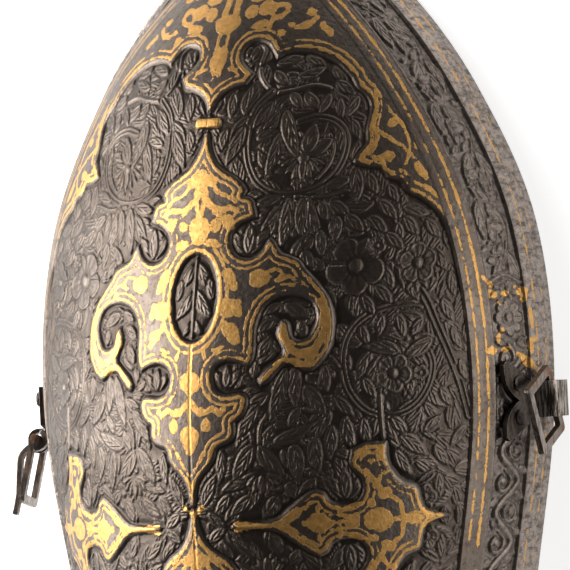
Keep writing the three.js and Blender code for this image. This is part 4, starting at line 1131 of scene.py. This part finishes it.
# Materials
def newMaterial(name):
    material = bpy.data.materials.new(name)
    material.use_nodes = True
    tree = material.node_tree
    tree.nodes.clear()
    out = tree.nodes.new("ShaderNodeOutputMaterial")
    shader = tree.nodes.new("ShaderNodeBsdfPrincipled")
    tree.links.new(shader.outputs[0], out.inputs[0])
    return material, tree, shader


def noise(tree, scale, detail, roughness, stretch=None):
    # on Object coordinates, in metres
    place = tree.nodes.new("ShaderNodeTexCoord").outputs["Object"]
    if stretch:
        mapping = tree.nodes.new("ShaderNodeMapping")
        mapping.inputs["Scale"].default_value = stretch
        tree.links.new(place, mapping.inputs["Vector"])
        place = mapping.outputs[0]
    node = tree.nodes.new("ShaderNodeTexNoise")
    node.inputs["Scale"].default_value = scale
    node.inputs["Detail"].default_value = detail
    node.inputs["Roughness"].default_value = roughness
    tree.links.new(place, node.inputs["Vector"])
    return node.outputs[0]


def ramp(tree, value, low, high, fromTo=(0.0, 1.0)):
    node = tree.nodes.new("ShaderNodeMapRange")
    node.clamp = True
    node.inputs["From Min"].default_value = low
    node.inputs["From Max"].default_value = high
    node.inputs["To Min"].default_value = fromTo[0]
    node.inputs["To Max"].default_value = fromTo[1]
    tree.links.new(value, node.inputs["Value"])
    return node.outputs[0]


def reckon(tree, operation, first, second=None, clamp=False):
    node = tree.nodes.new("ShaderNodeMath")
    node.operation = operation
    node.use_clamp = clamp
    for socket, value in zip(node.inputs, (first, second)):
        if value is None:
            continue
        if isinstance(value, (int, float)):
            socket.default_value = value
        else:
            tree.links.new(value, socket)
    return node.outputs[0]


def addScaled(tree, base, value, factor):
    return reckon(tree, "ADD", base, reckon(tree, "MULTIPLY", value, factor))


def blendColours(tree, factor, first, second):
    node = tree.nodes.new("ShaderNodeMix")
    node.data_type = "RGBA"
    tree.links.new(factor, node.inputs["Factor"])
    for socket, value in zip((node.inputs[6], node.inputs[7]), (first, second)):
        if isinstance(value, tuple):
            socket.default_value = value + (1,)
        else:
            tree.links.new(value, socket)
    return node.outputs[2]


def attribute(tree, name):
    node = tree.nodes.new("ShaderNodeAttribute")
    node.attribute_name = name
    return node.outputs["Fac"]


def bump(tree, height, distance, strength=1.0, normal=None):
    node = tree.nodes.new("ShaderNodeBump")
    node.inputs["Strength"].default_value = strength
    node.inputs["Distance"].default_value = distance
    tree.links.new(height, node.inputs["Height"])
    if normal is not None:
        tree.links.new(normal, node.inputs["Normal"])
    return node.outputs[0]


chiselled = {
    "steel": (0.178, 0.147, 0.124),
    # dark steel for grain, scratches and rubs, also used as the painted shade in the hollows
    "tarnishAndShade": (0.052, 0.041, 0.034),
    "bronzed": (0.102, 0.077, 0.061),
    # pale steel of the rim and band: partly wear, partly painted reflection
    "rimWearAndSheen": (0.36, 0.305, 0.268),
    "gold": (0.70, 0.39, 0.125),
    "goldDull": (0.50, 0.285, 0.09),
    "steelRoughness": (0.3, 0.48),
    "goldRoughness": (0.4, 0.55),
    # noise: scale, detail, roughness, and stretch if any
    "broad": (38, 5, 0.6),
    "grain": (900, 3, 0.7),
    "speck": (2600, 2, 0.6),
    "scratch": (700, 4, 0.7, (1.0, 0.14, 1.0)),
    "rubs": (900, 4, 0.7, (0.3, 1.0, 0.3)),       # marks of handling on the rim
    "goldRim": (820, 4, 0.65),                    # eats into the gold's outline, and so does ragged
    "ragged": (230, 3, 0.6),
    "loss": (120, 5, 0.7),
    # bump: distance in metres, strength
    "speckBump": (0.00004, 0.5),
    "grainBump": (0.00016, 0.7),
    "veinBump": (0.00005, 0.7),
    "goldBump": (0.00006, 0.6),
    "scratchBump": (0.00005, 0.45),
    "hollowShade": (-0.5, -0.12),                     # millimetres under the skin, from full painted shade to none
    "outlineEaten": (1.15, 0.55),                 # by goldRim and ragged
    "goldEdge": (-0.04, 0.05),
}


def gildedColour(tree, c, colour, grain, speck, goldRim, ragged, loss):
    # paints shade into the hollows, makes the rim and band paler (partly wear, partly painted
    # reflection) and lays worn gold over it; also returns the gold's mask
    # painted shade: the lower the skin lies, the darker it is made
    hollowShade = ramp(tree, addScaled(tree, attribute(tree, "level"), grain, 0.2), *c["hollowShade"])
    colour = blendColours(tree, hollowShade, c["tarnishAndShade"], colour)
    # the rim and band made paler: partly bared by wear, partly painted reflection
    rim = attribute(tree, "rim")
    bare = reckon(tree, "MULTIPLY", rim, ramp(tree, grain, 0.62, 0.42, (0.25, 0.9)))
    colour = blendColours(tree, bare, colour, c["rimWearAndSheen"])
    rubs = ramp(tree, noise(tree, *c["rubs"]), 0.5, 0.64, (0, 0.75))
    colour = blendColours(tree, reckon(tree, "MULTIPLY", rim, rubs), colour, c["tarnishAndShade"])
    gold = attribute(tree, "gold")
    for eats, amount in zip((goldRim, ragged), c["outlineEaten"]):
        gold = addScaled(tree, gold, reckon(tree, "SUBTRACT", eats, 0.5), amount)
    gold = reckon(tree, "SUBTRACT", gold, ramp(tree, loss, 0.54, 0.68, (0, 0.6)))
    gold = reckon(tree, "SUBTRACT", gold, ramp(tree, speck, 0.62, 0.7, (0, 0.9)))
    mask = ramp(tree, gold, *c["goldEdge"])
    leafGold = blendColours(tree, ramp(tree, goldRim, 0.4, 0.7), c["gold"], c["goldDull"])
    return blendColours(tree, mask, colour, leafGold), mask


def chiselledSteel(name, gilded):
    material, tree, shader = newMaterial(name)
    c = chiselled
    broad, grain, speck, scratch = (
        noise(tree, *c[key]) for key in ("broad", "grain", "speck", "scratch"))
    colour = blendColours(tree, ramp(tree, broad, 0.35, 0.7), c["steel"], c["bronzed"])
    colour = blendColours(tree, ramp(tree, grain, 0.52, 0.7, (0, 0.7)), colour, c["tarnishAndShade"])
    colour = blendColours(tree, ramp(tree, scratch, 0.5, 0.66, (0, 0.4)), colour, c["tarnishAndShade"])
    shine = addScaled(tree, reckon(tree, "MULTIPLY", broad, 0.6), grain, 0.4)
    shine = ramp(tree, shine, 0.35, 0.65, c["steelRoughness"])
    tall = bump(tree, speck, *c["speckBump"])
    tall = bump(tree, grain, *c["grainBump"], tall)
    if gilded:
        goldRim, ragged, loss = (noise(tree, *c[key]) for key in ("goldRim", "ragged", "loss"))
        lines = reckon(tree, "MULTIPLY", attribute(tree, "vein"), 2 * math.pi)
        lines = reckon(tree, "MULTIPLY", reckon(tree, "SINE", lines), attribute(tree, "veined"))
        tall = bump(tree, lines, *c["veinBump"], tall)
        colour, mask = gildedColour(tree, c, colour, grain, speck, goldRim, ragged, loss)
        mixed = tree.nodes.new("ShaderNodeMix")
        tree.links.new(mask, mixed.inputs["Factor"])
        tree.links.new(shine, mixed.inputs[2])
        tree.links.new(ramp(tree, grain, 0.3, 0.7, c["goldRoughness"]), mixed.inputs[3])
        shine = mixed.outputs[0]
        tall = bump(tree, mask, *c["goldBump"], tall)
    tall = bump(tree, scratch, *c["scratchBump"], tall)
    tree.links.new(colour, shader.inputs["Base Color"])
    tree.links.new(shine, shader.inputs["Roughness"])
    tree.links.new(tall, shader.inputs["Normal"])
    shader.inputs["Metallic"].default_value = 1.0
    return material


fitting = {
    # darker base for the plates and rivets: painted shade, as they lie unlit under the frames
    "iron": (0.08, 0.064, 0.055),
    "filed": (0.235, 0.187, 0.16),
    "dark": (0.014, 0.011, 0.009),
    # pale steel for rubbed edges, polish and the curl: partly wear, partly painted highlight
    "worn": (0.42, 0.36, 0.31),
    "rust": (0.22, 0.085, 0.025),
    "roughness": (0.3, 0.55),
    "rustRoughness": 0.3,         # added where it has rusted
    "broad": (260, 4, 0.65),
    "grain": (1500, 3, 0.7),
    "filing": (1900, 3, 0.65, (1.0, 0.1, 1.0)),
    "grainBump": (0.00009, 0.6),
    "filingBump": (0.00008, 0.6),
    "broadBump": (0.00025, 0.5),
}


def fittingSteel(name, base, streaks):
    material, tree, shader = newMaterial(name)
    c = fitting
    broad, grain, filing = (noise(tree, *c[key]) for key in ("broad", "grain", "filing"))
    colour = blendColours(tree, ramp(tree, filing, 0.42, 0.62, (0, streaks)), base, c["dark"])
    colour = blendColours(tree, ramp(tree, grain, 0.52, 0.7, (0, 0.6)), colour, c["dark"])
    marks = {"polishAndHighlight": ramp(tree, filing, 0.56, 0.44), "worn": ramp(tree, broad, 0.42, 0.56),
             "rusty": ramp(tree, broad, 0.46, 0.58)}
    polishAndHighlight, worn, rust = (
        reckon(tree, "MULTIPLY", attribute(tree, key), value, True) for key, value in marks.items())
    # paler where rubbed or polished, and on the curl: partly wear, partly painted highlight
    colour = blendColours(tree, reckon(tree, "MAXIMUM", polishAndHighlight, worn), colour, c["worn"])
    colour = blendColours(tree, rust, colour, c["rust"])
    rough = ramp(tree, broad, 0.35, 0.65, c["roughness"])
    rustRough = reckon(tree, "MULTIPLY", rust, c["rustRoughness"])
    tree.links.new(colour, shader.inputs["Base Color"])
    tree.links.new(reckon(tree, "ADD", rough, rustRough, True), shader.inputs["Roughness"])
    tree.links.new(ramp(tree, rust, 0, 1, (1.0, 0.3)), shader.inputs["Metallic"])
    tall = bump(tree, grain, *c["grainBump"])
    tall = bump(tree, filing, *c["filingBump"], tall)
    tree.links.new(bump(tree, broad, *c["broadBump"], tall), shader.inputs["Normal"])
    return material


gildedSteel = chiselledSteel("gilded_steel", True)
plainSteel = chiselledSteel("plain_steel", False)
# the plates' and rivets' copy of the fitting steel, made darker: painted shade
shadedIron = fittingSteel("shaded_iron", fitting["iron"], 0.6)
filedSteel = fittingSteel("filed_steel", fitting["filed"], 0.35)
for piece in plateSkins:
    piece.data.materials.append(gildedSteel)
plateHollow.data.materials.append(plainSteel)
for piece in plateSkins + [plateHollow]:
    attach(piece, "guard")
    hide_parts("guard_plate")
print("materials ready")


# The fittings, with their edges rubbed round
fittings = {
    # node: (body, bevel in millimetres, material, slot)
    "right_strap_plate": ("guard", 0.17, shadedIron, "fitting_steel"),
    "right_rivet_1": ("guard", 0.06, shadedIron, "rivet_iron"),
    "right_rivet_2": ("guard", 0.06, shadedIron, "rivet_iron"),
    "right_strap_frame": ("strap_frame", 0.24, filedSteel, "fitting_steel"),
    "left_hinge_plate": ("guard", 0.17, shadedIron, "fitting_steel"),
    "left_rivet_1": ("guard", 0.06, shadedIron, "rivet_iron"),
    "left_rivet_2": ("guard", 0.06, shadedIron, "rivet_iron"),
    "left_buckle": ("buckle", 0.24, filedSteel, "fitting_steel"),
    "left_tongue": ("tongue", 0.2, filedSteel, "fitting_steel"),
}
fork = {
    "cuts": (0.7, 1.5, 2.4, 3.4, 4.4, 5.4),     # millimetres from its middle
    "bulge": 1.5,
    "headLeft": 0.2,             # share of the rivets' heads that stays
    "outward": (0.94, 0, 0.34),
}
wear = {
    "weld": 0.01,                # millimetres
    "flat": 1.5,                 # degrees: dissolved below, rubbed above, creased above
    "sharp": 38,
    "crease": 52,
    "edge": 1.0,                 # how pale a rubbed edge is, partly bare metal, partly painted highlight, and a rivet's
    "rivetEdge": 0.1,
    "curl": (2.6, 1.2),          # painted highlight on the curl, where it catches the light: how far from the plate's outer end it starts, over what
    "rust": 4.6,                 # millimetres from the bar
    "bar": (9, 0.1, 0.55),       # polish: grows over this distance, starts late by, goes up to
}


def fullerFork(bm, middle):
    # the photographed legs are broader, so each side of the notch is drawn out in a curve
    tip = max((vertex.co for vertex in bm.verts), key=lambda co: co.z).copy()
    corner = min(abs(vertex.co.y - middle) for vertex in bm.verts if vertex.co.z > tip.z - 1e-5)
    inNotch = [vertex.co for vertex in bm.verts if abs(vertex.co.y - middle) < 1e-5]
    floor = max(inNotch, key=lambda co: co.z).copy()
    lean = Vector((tip.x - floor.x, 0, tip.z - floor.z)).normalized()
    for away in fork["cuts"]:
        for side in (-1, 1):
            bmesh.ops.bisect_plane(bm, geom=bm.verts[:] + bm.edges[:] + bm.faces[:],
                                   plane_no=(0, 1, 0), plane_co=(0, middle + side * away * mm, 0))
    for vertex in bm.verts:
        share = abs(vertex.co.y - middle) / corner
        if share < 0.99 and abs(vertex.co.z - floor.z - share * (tip.z - floor.z)) < 0.08 * mm:
            vertex.co += lean * fork["bulge"] * mm * math.sin(math.pi * share ** 0.8)


def flatterHead(bm, outward):
    # a head that the photo doesn't show standing out
    middle = sum((vertex.co for vertex in bm.verts), Vector()) / len(bm.verts)
    rise = lambda vertex: (vertex.co - middle).dot(outward)
    beside = lambda vertex: ((vertex.co - middle) - outward * rise(vertex)).length
    widest = max(beside(vertex) for vertex in bm.verts)
    level = max(rise(vertex) for vertex in bm.verts if beside(vertex) > widest - 1e-5)
    for vertex in bm.verts:
        over = rise(vertex) - level
        if over > 0:
            vertex.co -= outward * over * (1 - fork["headLeft"])


def addWear(bm, name, body, rubbed):
    # worn: rubbed edges, partly wear and partly painted highlight; polish: a painted highlight on the
    # curl's outer end, and on the frames bright from use; rusty: where the bar sits in its eye
    worn = bm.faces.layers.float["worn"]
    polishAndHighlight, rusty = (bm.verts.layers.float[key] for key in ("polishAndHighlight", "rusty"))
    share = lambda value: min(1, max(0, value))
    for face in rubbed:
        face[worn] = wear["rivetEdge"] if "rivet" in name else wear["edge"]
    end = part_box(name)[1][0]
    for vertex in bm.verts:
        # painted highlight: the curl's outer end is made paler where it catches the light
        if name == "right_strap_plate":
            start, over = wear["curl"]
            vertex[polishAndHighlight] = share((vertex.co.x - end + start * mm) / (over * mm))
        if body in ("strap_frame", "buckle"):
            axis = Vector(hinges[body]["axis"])
            away = vertex.co - Vector(hinges[body]["pos_m"])
            away = (away - axis * away.dot(axis)).length
            over, late, most = wear["bar"]
            vertex[rusty] = share(1.0 - away / (wear["rust"] * mm))
            vertex[polishAndHighlight] = most * share(away / (over * mm) - late)


hinges = {joint["child"]: joint for joint in frame["joints"]}
for name, (body, rounding, material, finish) in fittings.items():
    bm = bmesh.new()
    bm.from_mesh(frame["nodes"][name].data)
    bm.faces.layers.float.new("worn")
    for key in ("polishAndHighlight", "rusty"):
        bm.verts.layers.float.new(key)
    bmesh.ops.remove_doubles(bm, verts=bm.verts, dist=wear["weld"] * mm)
    bmesh.ops.dissolve_limit(
        bm, angle_limit=math.radians(wear["flat"]), verts=bm.verts, edges=bm.edges)
    if name == "right_strap_plate":
        fullerFork(bm, 0.5 * (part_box(name)[0][1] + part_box(name)[1][1]))
    if "right_rivet" in name:
        flatterHead(bm, Vector(fork["outward"]).normalized())
    sharp = [edge for edge in bm.edges if turnsBy(edge, wear["sharp"])]
    rubbed = bmesh.ops.bevel(
        bm, geom=sharp, offset=rounding * mm, offset_type="OFFSET", segments=2, profile=0.5,
        affect="EDGES", material=-1, clamp_overlap=True)
    addWear(bm, name, body, rubbed["faces"])
    for face in bm.faces:
        face.smooth = True
    for edge in bm.edges:
        edge.smooth = not turnsBy(edge, wear["crease"])
    mesh = bpy.data.meshes.new(name + "_worn")
    bm.to_mesh(mesh)
    bm.free()
    piece = placed(name + "_worn", mesh)
    weighted = piece.modifiers.new("weighted", "WEIGHTED_NORMAL")
    weighted.keep_sharp = True
    mesh.materials.append(material)
    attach(piece, body)
    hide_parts(name)
print("fittings ready")


# Stage, light and camera
stage = {
    "floor": 3.0,
    "floorColour": (0.88, 0.88, 0.875),
    "floorGlow": 0.9,
    "floorRoughness": 0.9,
    "floorSpecular": 0.1,
    "world": (0.62, 0.61, 0.60),
    "worldStrength": 0.165,
    "aim": (0.04, 0.03),         # along and up, in metres
    # name: (from the aim in metres, size, power, colour)
    "lights": {
        "key": ((-0.98, 0.24, 0.52), (0.8, 0.9), 19, (1, 0.985, 0.965)),
        "side": ((-1.1, 0.0, 0.14), (0.9, 0.35), 2.6, (1, 0.99, 0.98)),
        "spark": ((-0.62, 0.5, 0.8), (0.3, 0.3), 2.0, (1, 0.99, 0.97)),
        "right": ((1.2, 0.1, 0.12), (0.9, 0.25), 3.2, (1, 0.98, 0.96)),
    },
}
bm = bmesh.new()
bmesh.ops.create_grid(bm, x_segments=1, y_segments=1, size=stage["floor"])
mesh = bpy.data.meshes.new("floor")
bm.to_mesh(mesh)
bm.free()
floor = placed("floor", mesh)
material, tree, shader = newMaterial("floor_paper")
shader.inputs["Base Color"].default_value = stage["floorColour"] + (1,)
shader.inputs["Roughness"].default_value = stage["floorRoughness"]
shader.inputs["Specular IOR Level"].default_value = stage["floorSpecular"]
shader.inputs["Emission Color"].default_value = stage["floorColour"] + (1,)
shader.inputs["Emission Strength"].default_value = stage["floorGlow"]
floor.data.materials.append(material)

world = bpy.data.worlds.new("studio")
bpy.context.scene.world = world
world.use_nodes = True
background = world.node_tree.nodes["Background"]
background.inputs[0].default_value = stage["world"] + (1,)
background.inputs[1].default_value = stage["worldStrength"]

aim = Vector((middleX,) + stage["aim"])
for name, (offset, size, power, colour) in stage["lights"].items():
    data = bpy.data.lights.new(name, "AREA")
    data.shape = "RECTANGLE"
    data.size, data.size_y = size
    data.energy = power
    data.color = colour
    lamp = placed(name, data)
    lamp.location = aim + Vector(offset)
    lamp.rotation_euler = (-Vector(offset)).to_track_quat("-Z", "Y").to_euler()

view = {
    "turn": 26.55,            # degrees to the right of straight above
    "tip": 1.43,              # degrees towards the elbow
    "roll": 2.87,
    "distance": 1.1,
    "pivot": (0.0, 0.04, 0.0),
    "sensor": 36,             # millimetres
    "farthest": 20,
    "imageAcross": 570,
    "focalPixels": 1100 / 0.2059,
    "principal": (307.65, 458.66),            # pixels, where the measured axis meets the photo
}


def cameraAxes():
    turn, tip, roll = (math.radians(view[key]) for key in ("turn", "tip", "roll"))
    right = Vector((math.cos(turn), 0, -math.sin(turn)))
    back = Vector((math.sin(turn), 0, math.cos(turn)))
    up = Vector((0, 1, 0))
    upTipped = up * math.cos(tip) - back * math.sin(tip)
    backTipped = up * math.sin(tip) + back * math.cos(tip)
    rightRolled = right * math.cos(roll) - upTipped * math.sin(roll)
    upRolled = right * math.sin(roll) + upTipped * math.cos(roll)
    return rightRolled, upRolled, backTipped


right, up, back = cameraAxes()
pivot = Vector(view["pivot"]) + Vector((middleX, 0, 0))
eye = pivot + back * view["distance"]
centre = view["imageAcross"] / 2
# the photograph's middle is off the measured axis, so the camera turns to look at it
offAxis = [(centre - pixel) / view["focalPixels"] for pixel in view["principal"]]
look = (right * offAxis[0] - up * offAxis[1] - back).normalized()
back = -look
right = (right - back * right.dot(back)).normalized()
up = back.cross(right)
data = bpy.data.cameras.new("camera")
data.sensor_width = view["sensor"]
data.lens = view["focalPixels"] / view["imageAcross"] * data.sensor_width
data.clip_end = view["farthest"]
camera = placed("camera", data)
camera.matrix_world = Matrix((
    (right.x, up.x, back.x, eye.x),
    (right.y, up.y, back.y, eye.y),
    (right.z, up.z, back.z, eye.z),
    (0, 0, 0, 1),
))
bpy.context.scene.camera = camera
bpy.context.scene.view_settings.view_transform = "Standard"
print("stage ready")
